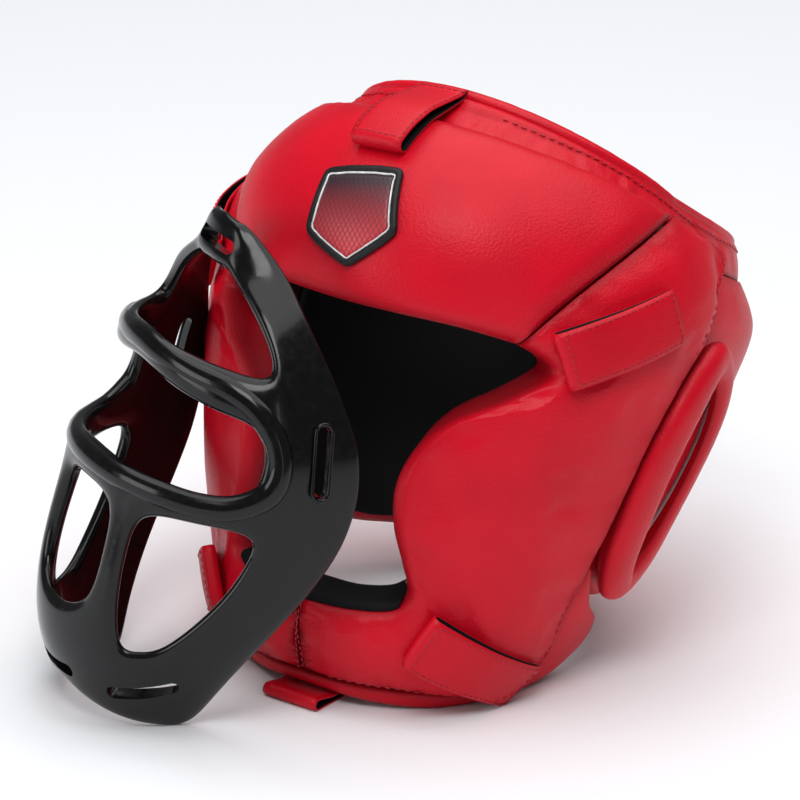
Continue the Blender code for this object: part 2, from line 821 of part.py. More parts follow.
def chin_strap(look, parent, lift):
    """Folded strap flat on the floor under the chin's middle, its fold to the front."""
    front = CHIN_STRAP_FRONT
    length = CHIN_STRAP_LENGTH
    half = STRAP_SKIN / 2
    bend = (CHIN_STRAP_LOOP + STRAP_SKIN) / 2
    path = [(front + length, half), (front, half)]
    for angle in (-50.0, 0.0, 50.0):
        swing = math.radians(angle)
        path.append((front - bend * math.cos(swing), half + bend + bend * math.sin(swing)))
    for along, level in CHIN_STRAP_TOP:
        path.append((front + length * along, level))
    count = len(path)
    points = []
    for layer in (1, -1):
        for side in (-0.5, 0.5):
            for index in range(count):
                before = path[index - 1]
                after = path[(index + 1) % count]
                run = Vector((after[0] - before[0], after[1] - before[1]))
                run.normalize()
                if index == count - 1:
                    run = Vector((1.0, 0.0))
                if index in (0, 1):
                    run = Vector((-1.0, 0.0))
                y = path[index][0] - run.y * half * layer
                z = path[index][1] + run.x * half * layer
                points.append(from_floor(side * CHIN_STRAP_WIDTH, y, z, lift))
    faces = []

    def at(layer, side, index):
        return (layer * 2 + side) * count + index

    for index in range(count - 1):
        for layer in (0, 1):
            faces.append((at(layer, 0, index), at(layer, 0, index + 1),
                          at(layer, 1, index + 1), at(layer, 1, index)))
        for side in (0, 1):
            faces.append((at(0, side, index), at(0, side, index + 1),
                          at(1, side, index + 1), at(1, side, index)))
    for index in (0, count - 1):
        faces.append((at(0, 0, index), at(0, 1, index), at(1, 1, index), at(1, 0, index)))
    return mesh_object("chin_strap", points, faces, look, parent)


def grill_surface(turn, row):
    """Point of the grill's middle surface for a turn and a section row."""
    level, back, half, wing_level, wing_back = smooth_through(GRILL_ROWS, row)
    angle = math.radians(turn)
    sweep = 1 - math.cos(angle)
    return Vector((half * GRILL_HALF_WIDTH * math.sin(angle),
                   (back + (wing_back - back) * sweep) * GRILL_REACH,
                   (level + (wing_level - level) * abs(math.sin(angle))) * GRILL_HEIGHT))


def grill_normal(turn, row):
    """Unit vector that points out of the grill."""
    along = grill_surface(turn + 1.5, row) - grill_surface(turn - 1.5, row)
    first = max(row - 0.1, 0.0)
    last = min(row + 0.1, len(GRILL_ROWS) - 1.0)
    up = grill_surface(turn, first) - grill_surface(turn, last)
    return along.cross(up).normalized()


def slot_cutter(parent):
    """Round-ended bars that cut the six strap slots."""
    shape = bmesh.new()
    sides = 4
    depth = 0.012
    for turn, row, slant in GRILL_SLOTS:
        centre = grill_surface(turn, row)
        normal = grill_normal(turn, row)
        level = (grill_surface(turn + 2.0, row) - grill_surface(turn - 2.0, row)).normalized()
        rise = normal.cross(level)
        swing = math.radians(slant)
        long_way = level * math.cos(swing) + rise * math.sin(swing)
        short_way = normal.cross(long_way)
        straight = (SLOT_LENGTH - SLOT_WIDTH) / 2
        rings = []
        for out in (-depth, depth):
            ring = []
            for end in (1, -1):
                for corner in range(sides + 1):
                    angle = math.pi * corner / sides - math.pi / 2
                    along = end * (straight + SLOT_WIDTH / 2 * math.cos(angle))
                    across = end * SLOT_WIDTH / 2 * math.sin(angle)
                    ring.append(shape.verts.new(centre + long_way * along
                                                + short_way * across + normal * out))
            rings.append(ring)
        for index in range(len(rings[0])):
            beside = (index + 1) % len(rings[0])
            shape.faces.new((rings[0][index], rings[0][beside],
                             rings[1][beside], rings[1][index]))
        shape.faces.new(rings[0])
        shape.faces.new(rings[1])
    bmesh.ops.recalc_face_normals(shape, faces=shape.faces)
    mesh = bpy.data.meshes.new("slot_cutter")
    shape.to_mesh(mesh)
    shape.free()
    cutter = bpy.data.objects.new("slot_cutter", mesh)
    bpy.context.collection.objects.link(cutter)
    cutter.parent = parent
    cutter.hide_render = True
    cutter.display_type = "WIRE"
    return cutter


def face_grill(look):
    """One-piece moulded grill: a cage of thick bars and thin wings, smoothed."""
    stand = bpy.data.objects.new("grill_stand", None)
    bpy.context.collection.objects.link(stand)
    turns = []
    for cage in GRILL_CAGE:
        half = [0.0] + [float(turn) for turn in cage[2:7]] + [90.0]
        turns.append([-turn for turn in reversed(half[1:])] + half)
    columns = len(turns[0])
    middle = columns // 2
    rear = 4

    def open_cell(row, column):
        side = column - middle if column >= middle else middle - 1 - column
        return any(first <= row < last and start <= side < end
                   for first, last, start, end in GRILL_OPENINGS)

    points = []
    for layer in (0.5, -0.5):
        for row, cage in enumerate(GRILL_CAGE):
            for column in range(columns):
                turn = turns[row][column]
                edge = turns[row][middle + rear]
                part = min(abs(turn) / edge, 1.0)
                section = cage[0] + (cage[1] - cage[0]) * part
                beyond = max(0.0, abs(column - middle) - rear)
                front = 1.0 if beyond == 0 else 0.0
                wall = GRILL_WALL + (BAR_WALL - GRILL_WALL) * cage[7] * front
                points.append(grill_surface(turn, section)
                              + grill_normal(turn, section) * wall * layer)
    rows = len(GRILL_CAGE)
    shape = bmesh.new()
    verts = [shape.verts.new(point) for point in points]

    def at(layer, row, column):
        return verts[(layer * rows + row) * columns + column]

    for row in range(rows - 1):
        for column in range(columns - 1):
            if open_cell(row, column):
                continue
            for layer in (0, 1):
                shape.faces.new((at(layer, row, column), at(layer, row, column + 1),
                                 at(layer, row + 1, column + 1), at(layer, row + 1, column)))
            for beside, first, second in (((row - 1, column), (row, column), (row, column + 1)),
                                          ((row + 1, column), (row + 1, column), (row + 1, column + 1)),
                                          ((row, column - 1), (row, column), (row + 1, column)),
                                          ((row, column + 1), (row, column + 1), (row + 1, column + 1))):
                outside = (not 0 <= beside[0] < rows - 1 or not 0 <= beside[1] < columns - 1
                           or open_cell(*beside))
                if outside:
                    shape.faces.new((at(0, *first), at(0, *second), at(1, *second), at(1, *first)))
    loose = [vert for vert in shape.verts if not vert.link_faces]
    bmesh.ops.delete(shape, geom=loose, context="VERTS")
    bmesh.ops.recalc_face_normals(shape, faces=shape.faces)
    mesh = bpy.data.meshes.new("face_grill")
    shape.to_mesh(mesh)
    shape.free()
    mesh.materials.append(look)
    mesh.shade_smooth()
    grill = bpy.data.objects.new("face_grill", mesh)
    bpy.context.collection.objects.link(grill)
    grill.parent = stand
    smooth = grill.modifiers.new("smooth", "SUBSURF")
    smooth.levels = 1
    smooth.render_levels = 1
    cut = grill.modifiers.new("slots", "BOOLEAN")
    cut.object = slot_cutter(stand)
    cut.solver = "EXACT"
    lowest = min(vertex.co.z for vertex in
                 grill.evaluated_get(bpy.context.evaluated_depsgraph_get()).data.vertices)
    stand.rotation_euler = (0.0, 0.0, GRILL_TURN)
    stand.location = (GRILL_PLACE[0], GRILL_PLACE[1], -lowest)
    return grill


def main():
    for item in list(bpy.data.objects):
        bpy.data.objects.remove(item, do_unlink=True)
    leather = material("red_leather", RED, 0.42)
    lining_look = material("black_lining", BLACK, 0.75)
    rubber = material("badge_rubber", (0.05, 0.01, 0.015, 1.0), 0.5)
    plastic = material("black_plastic", BLACK, 0.18)

    guard = bpy.data.objects.new("guard", None)
    bpy.context.collection.objects.link(guard)
    foot = surface(CHIN_BAND[1][0], CHIN_BAND[1][1])
    lowest = foot.z * math.cos(REST_PITCH) - foot.y * math.sin(REST_PITCH)
    lift = -lowest - SETTLE
    guard.rotation_euler = (-REST_PITCH, 0.0, 0.0)
    guard.location = (0.0, 0.0, lift)

    rows, drops = end_rows(mirrored_table(FOREHEAD), 12)
    pieces = [pad("forehead_pad", rows, leather, guard, PAD_DEPTH, end_drops=drops)]
    lining("front_lining", rows, PAD_DEPTH, lining_look, guard, lift)
    for sign, side in ((1.0, "left"), (-1.0, "right")):
        rows, drops = end_rows(side_table(sign), 20)
        pieces.append(pad("side_pad_" + side, rows, leather, guard, PAD_DEPTH, end_drops=drops,
                          edge_gap=(0.0, SEAM_GAP / 2), lift=lift))
        lining("side_lining_" + side, rows, PAD_DEPTH, lining_look, guard, lift)
        table = [(sign * row[0], row[1], sign * row[2], row[3]) for row in FLAP_EDGES]
        rows, drops = end_rows(table, 7, seams=(False, False))
        pieces.append(pad("jaw_flap_" + side, rows, leather, guard, FLAP_DEPTH,
                          level=-FLAP_RECESS, rounds=FLAP_ROUNDS, puff=FLAP_PUFF, middles=1,
                          edge_gap=(FLAP_GAP, 0.0), lift=lift))
    rows, drops = end_rows(mirrored_table(BACK_EDGES), 14)
    pieces.append(pad("back_pad", rows, leather, guard, BACK_DEPTH, level=-BACK_RECESS,
                      end_drops=drops, rounds=(SEAM_ROUND, SEAM_ROUND), lift=lift,
                      seam=back_seam, middles=7, puff=BACK_PUFF))
    lining("back_lining", rows, BACK_DEPTH, lining_look, guard, lift, level=-BACK_RECESS,
           seam=back_seam, middles=3, rounds=(SEAM_ROUND, SEAM_ROUND))
    rows, drops = end_rows(mirrored_table(CHIN_BAND), 10, seams=(False, False))
    pieces.append(pad("chin_band", rows, leather, guard, FLAP_DEPTH, level=-BAND_RECESS,
                      rounds=BAND_ROUNDS, puff=BAND_PUFF, middles=1, lift=lift))
    pieces.append(crown_band(leather, guard))
    pieces.append(crown_rim(leather, guard))
    tree = tree_of(pieces)
    for sign, side in ((1.0, "left"), (-1.0, "right")):
        line = [(sign * turn, height, size) for turn, height, size in EAR_LINE]
        ring_tube("ear_pad_" + side, line, EAR_TUBE_WIDTH, EAR_TUBE_HEIGHT,
                  EAR_TUBE_RISE - BACK_RECESS, leather, guard, 22, 7)
        for kind in ("cheek", "jaw"):
            c = STRAPS[kind]
            corners = (sign * c[0], c[1], sign * c[2], c[3], sign * c[4], c[5], sign * c[6], c[7])
            folded_strap(kind + "_strap_" + side, corners, tree, leather, guard, lift)
    folded_strap("top_strap", STRAPS["top"], tree, leather, guard, lift)
    chin_strap(leather, guard, lift)
    badge(tree, rubber, guard)
    face_grill(plastic)


main()
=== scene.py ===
# %% [markdown]
# # A padded boxing headguard and its face grill
# The guard is soft foam under red synthetic leather, lined in black, with folded straps. The grill
# is one hard, glossy black moulding that has been taken off and stands in front of it. This lesson
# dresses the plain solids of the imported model. It lays every piece on the same outer form as the
# solids, described by two values: the turn round the head in degrees, and the share of the height.

# %% Load the fixed frame
import math

import bmesh
import bpy
from mathutils import Matrix, Vector, noise
from mathutils.bvhtree import BVHTree


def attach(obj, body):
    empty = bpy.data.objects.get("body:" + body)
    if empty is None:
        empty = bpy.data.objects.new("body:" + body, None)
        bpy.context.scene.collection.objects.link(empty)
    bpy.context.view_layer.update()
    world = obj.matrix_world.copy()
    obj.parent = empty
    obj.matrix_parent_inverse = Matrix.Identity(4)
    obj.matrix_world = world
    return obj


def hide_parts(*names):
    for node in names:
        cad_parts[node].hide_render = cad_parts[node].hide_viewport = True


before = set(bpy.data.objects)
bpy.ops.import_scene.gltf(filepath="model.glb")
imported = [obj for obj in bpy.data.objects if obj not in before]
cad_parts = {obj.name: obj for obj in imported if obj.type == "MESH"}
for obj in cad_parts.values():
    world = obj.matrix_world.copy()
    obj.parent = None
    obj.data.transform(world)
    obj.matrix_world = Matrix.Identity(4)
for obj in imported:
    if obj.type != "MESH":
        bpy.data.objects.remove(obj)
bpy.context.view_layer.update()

print("nodes", len(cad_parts))

# %% [markdown]
# ## The sizes that the solids use
# These are the driving sizes of the guard in metres. They repeat the ones behind the solids, so
# every dressed piece lies exactly where its solid does.

# %% Sizes of the guard
HALF_WIDTH = 0.123
FRONT_REACH = 0.130
BACK_REACH = 0.124
CHIN_LEVEL = -0.004
NAPE_LEVEL = 0.046
RIM_FRONT = 0.263
RIM_BACK = 0.217
PAD_DEPTH = 0.026
BACK_DEPTH = 0.016
FLAP_DEPTH = 0.012
LINING = 0.002
SKIN = 0.003
RIM_RADIUS = 0.0034
EDGE_ROUND = 0.008
SEAM_ROUND = 0.005
PUFF = 0.003
BACK_RECESS = 0.012
CROWN_SINK = 0.006
GAP = 0.0003
REST_PITCH = math.radians(18.0)
SETTLE = 0.0015

# Height share, then half width, front and back reach as shares, and corner fullness
FORM = [
    (-0.16, 0.53, 0.58, 0.61, 0.00),
    (0.00, 0.66, 0.71, 0.74, 0.00),
    (0.08, 0.72, 0.80, 0.80, 0.00),
    (0.25, 0.85, 0.885, 0.90, 0.00),
    (0.45, 0.95, 0.955, 0.965, 0.00),
    (0.62, 0.99, 1.00, 0.99, 0.04),
    (0.78, 0.955, 0.985, 0.995, 0.11),
    (0.90, 0.845, 0.84, 0.97, 0.12),
    (1.00, 0.68, 0.60, 0.93, 0.12),
]

# Turn and height share of the face opening's edge, from the brow's end to the chin's middle
FACE_EDGE = [
    (39.5, 0.630), (46.0, 0.612), (47.5, 0.585), (39.5, 0.530), (29.0, 0.475), (23.0, 0.420),
    (20.0, 0.350), (21.5, 0.280), (26.0, 0.215), (29.5, 0.165), (26.0, 0.137), (14.0, 0.128),
    (0.0, 0.128),
]
# The side pad's other edge, row for row, with how far the row bows upward
REAR_EDGE = [
    (78.0, 0.942, 0.035), (97.0, 0.905, 0.018), (90.5, 0.830, 0.0), (85.5, 0.730, 0.0),
    (79.5, 0.630, 0.0), (76.0, 0.530, 0.0), (74.5, 0.420, 0.0), (74.0, 0.300, 0.0),
    (74.0, 0.180, 0.0), (76.0, 0.020, 0.0), (60.0, -0.025, 0.0), (32.0, -0.008, 0.0),
    (0.0, 0.000, 0.0),
]
# Brow turn and height, top turn and height, bow
FOREHEAD = [
    (39.5, 0.630, 78.0, 0.942, 0.035),
    (27.0, 0.634, 54.0, 0.958, 0.010),
    (13.0, 0.631, 27.0, 0.962, 0.0),
    (0.0, 0.629, 0.0, 0.962, 0.0),
]
# Lower turn and height, top turn and height
BACK_EDGES = [
    (76.0, 0.250, 97.0, 0.905, 0.0),
    (88.0, 0.135, 110.0, 0.908, 0.0),
    (112.0, 0.060, 125.0, 0.915, 0.0),
    (148.0, 0.000, 150.0, 0.920, 0.0),
    (180.0, -0.140, 180.0, 0.920, 0.0),
]
# Seam turn and height, outer turn and height
FLAP_EDGES = [
    (74.2, 0.235, 76.4, 0.222, 0.0),
    (74.3, 0.170, 85.0, 0.135, 0.0),
    (74.6, 0.105, 95.0, 0.080, 0.0),
    (76.2, 0.050, 98.0, 0.015, 0.0),
    (74.5, 0.000, 88.0, -0.035, 0.0),
    (66.0, -0.015, 72.0, -0.055, 0.0),
]
CHIN_BAND = [
    (61.0, -0.050, 58.0, -0.028, 0.0),
    (45.0, -0.052, 44.0, -0.018, 0.0),
    (24.0, -0.040, 24.0, -0.008, 0.0),
    (0.0, -0.028, 0.0, -0.004, 0.0),
]
# Turn and height share of the padding's top edge
PAD_TOP = [
    (0.0, 0.962), (54.0, 0.960), (78.0, 0.946), (90.0, 0.930), (100.0, 0.912), (125.0, 0.918),
    (180.0, 0.924),
]
# Turn, height and thickness share of the roll round the ear
EAR_LINE = [
    (80.2, 0.420, 1.00), (82.2, 0.550, 1.00), (87.0, 0.650, 0.95), (93.0, 0.685, 0.80),
    (99.5, 0.630, 0.60), (103.0, 0.500, 0.50), (102.5, 0.340, 0.50), (98.5, 0.220, 0.70),
    (90.5, 0.180, 0.90), (82.5, 0.260, 1.00),
]


# %% [markdown]
# ## The outer form
# Reading the tables smoothly, with a cubic through neighbouring rows, turns a few given
# sections into one continuous skin. Everything soft is laid on that skin.

# %% Functions that describe the outer form
def smooth_through(table, place):
    """Reads a table at a fractional row, smoothly through its rows."""
    last = len(table) - 1
    place = min(max(place, 0.0), float(last))
    row = min(int(place), last - 1)
    part = place - row
    before, start, end = table[max(row - 1, 0)], table[row], table[row + 1]
    after = table[min(row + 2, last)]
    return [(2 * part ** 3 - 3 * part ** 2 + 1) * s
            + (part ** 3 - 2 * part ** 2 + part) * (e - b) / 2
            + (3 * part ** 2 - 2 * part ** 3) * e
            + (part ** 3 - part ** 2) * (a - s) / 2
            for b, s, e, a in zip(before, start, end, after)]


def form_row(height):
    """Half width, front reach, back reach and corner fullness at a height share."""
    height = min(max(height, FORM[0][0]), FORM[-1][0])
    row = 0
    while row < len(FORM) - 2 and height > FORM[row + 1][0]:
        row += 1
    low, high = FORM[row], FORM[row + 1]
    span = high[0] - low[0]
    part = (height - low[0]) / span
    before = FORM[max(row - 1, 0)]
    after = FORM[min(row + 2, len(FORM) - 1)]
    result = []
    for column in (1, 2, 3, 4):
        into = (high[column] - before[column]) / (high[0] - before[0]) * span
        out = (after[column] - low[column]) / (after[0] - low[0]) * span
        result.append((2 * part ** 3 - 3 * part ** 2 + 1) * low[column]
                      + (part ** 3 - 2 * part ** 2 + part) * into
                      + (3 * part ** 2 - 2 * part ** 3) * high[column]
                      + (part ** 3 - part ** 2) * out)
    return result


def surface(turn, height):
    """Point of the outer form, in the guard's own frame."""
    angle = math.radians(turn)
    rear = (1 - math.cos(angle)) / 2
    bottom = CHIN_LEVEL + (NAPE_LEVEL - CHIN_LEVEL) * rear
    top = RIM_FRONT + (RIM_BACK - RIM_FRONT) * rear
    half, front, back, corner = form_row(height)
    reach, fuller = front * FRONT_REACH, 1.0
    if math.cos(angle) <= 0:
        reach, fuller = back * BACK_REACH, 1 + corner * math.sin(2 * angle) ** 2
    return Vector((half * HALF_WIDTH * math.sin(angle) * fuller,
                   -reach * math.cos(angle) * fuller, bottom + height * (top - bottom)))


def outward(turn, height):
    """Unit vector that points out of the form."""
    along = surface(turn + 1.0, height) - surface(turn - 1.0, height)
    up = surface(turn, height + 0.008) - surface(turn, height - 0.008)
    return along.cross(up).normalized()


def foot_lift():
    """How far the tipped guard is raised so that its chin rests on the floor."""
    foot = surface(CHIN_BAND[1][0], CHIN_BAND[1][1])
    return foot.y * math.sin(REST_PITCH) - foot.z * math.cos(REST_PITCH) - SETTLE


guard_place = Matrix.Translation((0, 0, foot_lift())) @ Matrix.Rotation(-REST_PITCH, 4, "X")


def lifted(turn, height, offset, floor=0.0):
    """Point in the world at an offset outside the form, pressed flat at the floor."""
    point = guard_place @ (surface(turn, height) + outward(turn, height) * offset)
    point.z = max(point.z, floor)
    return point


print("guard raised by", round(foot_lift(), 4))

# %% [markdown]
# ## Camera
# The camera looks from the front left, a little above, slightly rolled, as in a catalogue picture
# taken with a long lens. A small shift of the lens puts the guard right of the middle.

# %% Camera
AZIMUTH = math.radians(33.0)
ELEVATION = math.radians(21.0)
ROLL = math.radians(3.0)
DISTANCE = 2.2
METRES_PER_PIXEL = 0.00046
IMAGE_SIZE = 800
AIM_PIXEL = (474.0, 385.0)
aim = Vector((0.0, 0.0402, 0.1236 + foot_lift()))

scene = bpy.context.scene
flat_right = Vector((math.cos(AZIMUTH), math.sin(AZIMUTH), 0.0))
toward = Vector((math.sin(AZIMUTH) * math.cos(ELEVATION), -math.cos(AZIMUTH) * math.cos(ELEVATION),
                 math.sin(ELEVATION)))
upright = toward.cross(flat_right)
right = flat_right * math.cos(ROLL) + upright * math.sin(ROLL)
up = upright * math.cos(ROLL) - flat_right * math.sin(ROLL)
camera = bpy.data.objects.new("camera", bpy.data.cameras.new("camera"))
camera.data.sensor_width = 36.0
camera.data.lens = 36.0 * DISTANCE / (IMAGE_SIZE * METRES_PER_PIXEL)
camera.data.shift_x = (IMAGE_SIZE / 2 - AIM_PIXEL[0]) / IMAGE_SIZE
camera.data.shift_y = (AIM_PIXEL[1] - IMAGE_SIZE / 2) / IMAGE_SIZE
view_turn = Matrix((right, up, toward)).transposed().to_4x4()
camera.matrix_world = Matrix.Translation(aim + toward * DISTANCE) @ view_turn
scene.collection.objects.link(camera)
scene.camera = camera
print("lens", round(camera.data.lens, 1), "mm")

# %% [markdown]
# ## Helpers for materials
# Every material starts from one Principled shader. Small helpers add the nodes that drive its
# colour and roughness, so that each finish below reads as a short recipe.

# %% Shader helpers
def make_material(name):
    """A new material with its Principled shader, ready for more nodes."""
    made = bpy.data.materials.new(name)
    made.use_nodes = True
    return made, made.node_tree.nodes, made.node_tree.links, made.node_tree.nodes["Principled BSDF"]


def make_group(name, inputs, outputs):
    """A shader node group with named value inputs and value outputs."""
    group = bpy.data.node_groups.new(name, "ShaderNodeTree")
    for label, value in inputs:
        socket = group.interface.new_socket(label, in_out="INPUT", socket_type="NodeSocketFloat")
        socket.default_value = value
    for label in outputs:
        group.interface.new_socket(label, in_out="OUTPUT", socket_type="NodeSocketFloat")
    return group, group.nodes.new("NodeGroupInput"), group.nodes.new("NodeGroupOutput")


def math_node(tree, operation, first, second):
    """One arithmetic step. Each operand is a socket or a number."""
    node = tree.nodes.new("ShaderNodeMath")
    node.operation = operation
    for index, value in enumerate((first, second)):
        if isinstance(value, (int, float)):
            node.inputs[index].default_value = value
        else:
            tree.links.new(value, node.inputs[index])
    return node.outputs[0]


def colour_blend(tree, mask, first, second):
    """Mixes two colours by a mask socket. Each colour is a socket or four numbers."""
    node = tree.nodes.new("ShaderNodeMix")
    node.data_type = "RGBA"
    tree.links.new(mask, node.inputs["Factor"])
    for socket, value in ((node.inputs[6], first), (node.inputs[7], second)):
        if isinstance(value, tuple):
            socket.default_value = value
        else:
            tree.links.new(value, socket)
    return node.outputs[2]


def texture(tree, kind, place, **numbers):
    """A texture node that reads a place socket, with its number inputs set by name."""
    node = tree.nodes.new(kind)
    tree.links.new(place, node.inputs["Vector"])
    for label, number in numbers.items():
        node.inputs[label].default_value = number
    return node


def value_range(tree, value, low, high, to_low=0.0, to_high=1.0):
    """Maps a value from one span to another, held at its ends."""
    node = tree.nodes.new("ShaderNodeMapRange")
    tree.links.new(value, node.inputs["Value"])
    for label, number in (("From Min", low), ("From Max", high), ("To Min", to_low),
                          ("To Max", to_high)):
        node.inputs[label].default_value = number
    return node.outputs["Result"]


# %% [markdown]
# ## Shared surface effects
# Synthetic leather has a fine pebbled grain with slow waves of tone under it. The group gives a
# height for the bump and two masks, and each leather places it with its own scale.

# %% Grain of synthetic leather
grain_group, grain_in, grain_out = make_group(
    "leather_grain", [("Pebble scale", 900.0), ("Wave scale", 35.0)], ["Height", "Tone", "Rub"])
spot = grain_group.nodes.new("ShaderNodeTexCoord").outputs["Object"]
pebble = grain_group.nodes.new("ShaderNodeTexVoronoi")
pebble.feature = "SMOOTH_F1"
pebble.inputs["Smoothness"].default_value = 0.35
grain_group.links.new(spot, pebble.inputs["Vector"])
fine = texture(grain_group, "ShaderNodeTexNoise", spot, Detail=3.0)
wave = texture(grain_group, "ShaderNodeTexNoise", spot, Detail=2.0)
grain_group.links.new(grain_in.outputs["Pebble scale"], pebble.inputs["Scale"])
grain_group.links.new(math_node(grain_group, "MULTIPLY", grain_in.outputs["Pebble scale"], 0.6),
                      fine.inputs["Scale"])
grain_group.links.new(grain_in.outputs["Wave scale"], wave.inputs["Scale"])
bed = math_node(grain_group, "MULTIPLY", pebble.outputs["Distance"], 0.7)
height = math_node(grain_group, "ADD", bed, math_node(grain_group, "MULTIPLY", fine.outputs["Fac"], 0.5))
grain_group.links.new(height, grain_out.inputs["Height"])
grain_group.links.new(wave.outputs["Fac"], grain_out.inputs["Tone"])
grain_group.links.new(fine.outputs["Fac"], grain_out.inputs["Rub"])


def place_grain(tree, pebble_scale, wave_scale):
    """Adds the leather grain to a material."""
    node = tree.nodes.new("ShaderNodeGroup")
    node.node_tree = grain_group
    node.inputs["Pebble scale"].default_value = pebble_scale
    node.inputs["Wave scale"].default_value = wave_scale
    return node


def add_bump(tree, shader, height, strength, distance):
    """Feeds a height through a Bump node into the shader's normal."""
    node = tree.nodes.new("ShaderNodeBump")
    node.inputs["Strength"].default_value = strength
    node.inputs["Distance"].default_value = distance
    tree.links.new(height, node.inputs["Height"])
    tree.links.new(node.outputs["Normal"], shader.inputs["Normal"])


# %% [markdown]
# ## The leathers
# Each pad stores how close a point is to a seam. There the colour is darkened by painted shade,
# for the crease where the leather rolls into the seam. The leather is also pulled tight into the
# stitches there, so it is a little rougher than on the crown of the pad, which is rubbed.

# %% Red leathers
def red_leather(name, bright, seam_shade_colour, roughness, pebble_scale):
    """Red synthetic leather, darkened at its seams by painted shade, and rougher there."""
    made, nodes, links, shader = make_material(name)
    tree = made.node_tree
    grain = place_grain(tree, pebble_scale, 30.0)
    # The seam mask paints shade into the colour near seams, and also raises the roughness there.
    seam = nodes.new("ShaderNodeAttribute")
    seam.attribute_name = "seam"
    tone = value_range(tree, grain.outputs["Tone"], 0.3, 0.7)
    base = colour_blend(tree, tone, bright, tuple(c * 0.86 for c in bright[:3]) + (1.0,))
    # Painted shade: near a seam the colour is blended towards the deep red.
    seam_shade_amount = math_node(tree, "MULTIPLY", seam.outputs["Fac"], 0.75)
    links.new(colour_blend(tree, seam_shade_amount, base, seam_shade_colour), shader.inputs["Base Color"])
    rough = math_node(tree, "ADD", math_node(tree, "MULTIPLY", grain.outputs["Rub"], 0.16),
                      math_node(tree, "MULTIPLY", seam.outputs["Fac"], 0.10))
    links.new(math_node(tree, "ADD", rough, roughness - 0.08), shader.inputs["Roughness"])
    shader.inputs["Specular IOR Level"].default_value = 0.22
    add_bump(tree, shader, grain.outputs["Height"], 0.5, 0.0003)
    return made


# The second, deep red is painted shade for the creases at the seams, not a colour of the leather.
RED_BRIGHT = (0.660, 0.0022, 0.0170, 1.0)
RED_SEAM_SHADE = (0.190, 0.0008, 0.0050, 1.0)
pad_leather = red_leather("pad_leather", RED_BRIGHT, RED_SEAM_SHADE, 0.40, 900.0)
strap_leather = red_leather("strap_leather", (0.630, 0.0020, 0.0160, 1.0), RED_SEAM_SHADE, 0.44, 1100.0)

# %% [markdown]
# ## Lining, thread, rubber and moulded plastic
# The lining is a smooth black knit with a faint weave. The grill is moulded plastic: very dark,
# glossy, with the slight waviness that a polished mould leaves in its reflections.

# %% Black lining
lining_cloth, nodes, links, shader = make_material("lining_cloth")
tree = lining_cloth.node_tree
place = nodes.new("ShaderNodeTexCoord").outputs["Object"]
weave = texture(tree, "ShaderNodeTexWave", place, Scale=260.0, Distortion=1.5)
soot = texture(tree, "ShaderNodeTexNoise", place, Scale=40.0)
links.new(colour_blend(tree, soot.outputs["Fac"], (0.0020, 0.0018, 0.0026, 1.0),
                       (0.0050, 0.0046, 0.0058, 1.0)), shader.inputs["Base Color"])
links.new(value_range(tree, soot.outputs["Fac"], 0.3, 0.7, 0.62, 0.78), shader.inputs["Roughness"])
shader.inputs["Specular IOR Level"].default_value = 0.15
add_bump(tree, shader, weave.outputs["Fac"], 0.15, 0.0001)

# %% Thread
thread, nodes, links, shader = make_material("red_thread")
tree = thread.node_tree
place = nodes.new("ShaderNodeTexCoord").outputs["Object"]
twist = texture(tree, "ShaderNodeTexNoise", place, Scale=900.0)
links.new(colour_blend(tree, twist.outputs["Fac"], (0.30, 0.004, 0.012, 1.0),
                       (0.50, 0.012, 0.028, 1.0)), shader.inputs["Base Color"])
links.new(value_range(tree, twist.outputs["Fac"], 0.3, 0.7, 0.45, 0.65), shader.inputs["Roughness"])
add_bump(tree, shader, twist.outputs["Fac"], 0.3, 0.0001)


# %% Moulded plastic and rubber
def moulded(name, colour, roughness, wave_strength, coat):
    """A moulded finish: faint dust in its colour and gloss, and slow waves in its surface."""
    made, nodes, links, shader = make_material(name)
    tree = made.node_tree
    place = nodes.new("ShaderNodeTexCoord").outputs["Object"]
    wave = texture(tree, "ShaderNodeTexNoise", place, Scale=45.0, Detail=1.0)
    dust = texture(tree, "ShaderNodeTexNoise", place, Scale=260.0, Detail=4.0)
    lighter = tuple(min(1.0, c * 1.7) for c in colour[:3]) + (1.0,)
    links.new(colour_blend(tree, value_range(tree, dust.outputs["Fac"], 0.45, 0.75), colour, lighter),
              shader.inputs["Base Color"])
    links.new(value_range(tree, dust.outputs["Fac"], 0.35, 0.75, roughness, roughness + 0.12),
              shader.inputs["Roughness"])
    shader.inputs["Coat Weight"].default_value = coat
    shader.inputs["Coat Roughness"].default_value = 0.06
    shader.inputs["Specular IOR Level"].default_value = 0.24
    add_bump(tree, shader, wave.outputs["Fac"], wave_strength, 0.0006)
    return made


grill_plastic = moulded("grill_plastic", (0.0030, 0.0030, 0.0034, 1.0), 0.14, 0.12, 0.15)
badge_rubber = moulded("badge_rubber", (0.010, 0.010, 0.011, 1.0), 0.42, 0.1, 0.0)
badge_line_rubber = moulded("badge_line_rubber", (0.62, 0.62, 0.62, 1.0), 0.45, 0.1, 0.0)
print("materials", len(bpy.data.materials))


# %% [markdown]
# ## Laying a pad
# A pad is a grid between its two edges. Stations crowd together where the leather rolls down into
# a seam, and are even in between. The fuller the foam, the more the middle swells. Small gathers
# run away from each seam, because the leather is a little longer than the line it is sewn to.

# %% Stations, gathers and the pad's grid
ROLL_ANGLES = (0.0, 15.0, 30.0, 45.0, 60.0, 75.0, 90.0)


def rolled_edge(radius):
    """How far in, and how far down, the skin lies at each angle of a rounded edge."""
    return [(radius * (1 - math.cos(math.radians(a))), radius * (1 - math.sin(math.radians(a))))
            for a in ROLL_ANGLES]


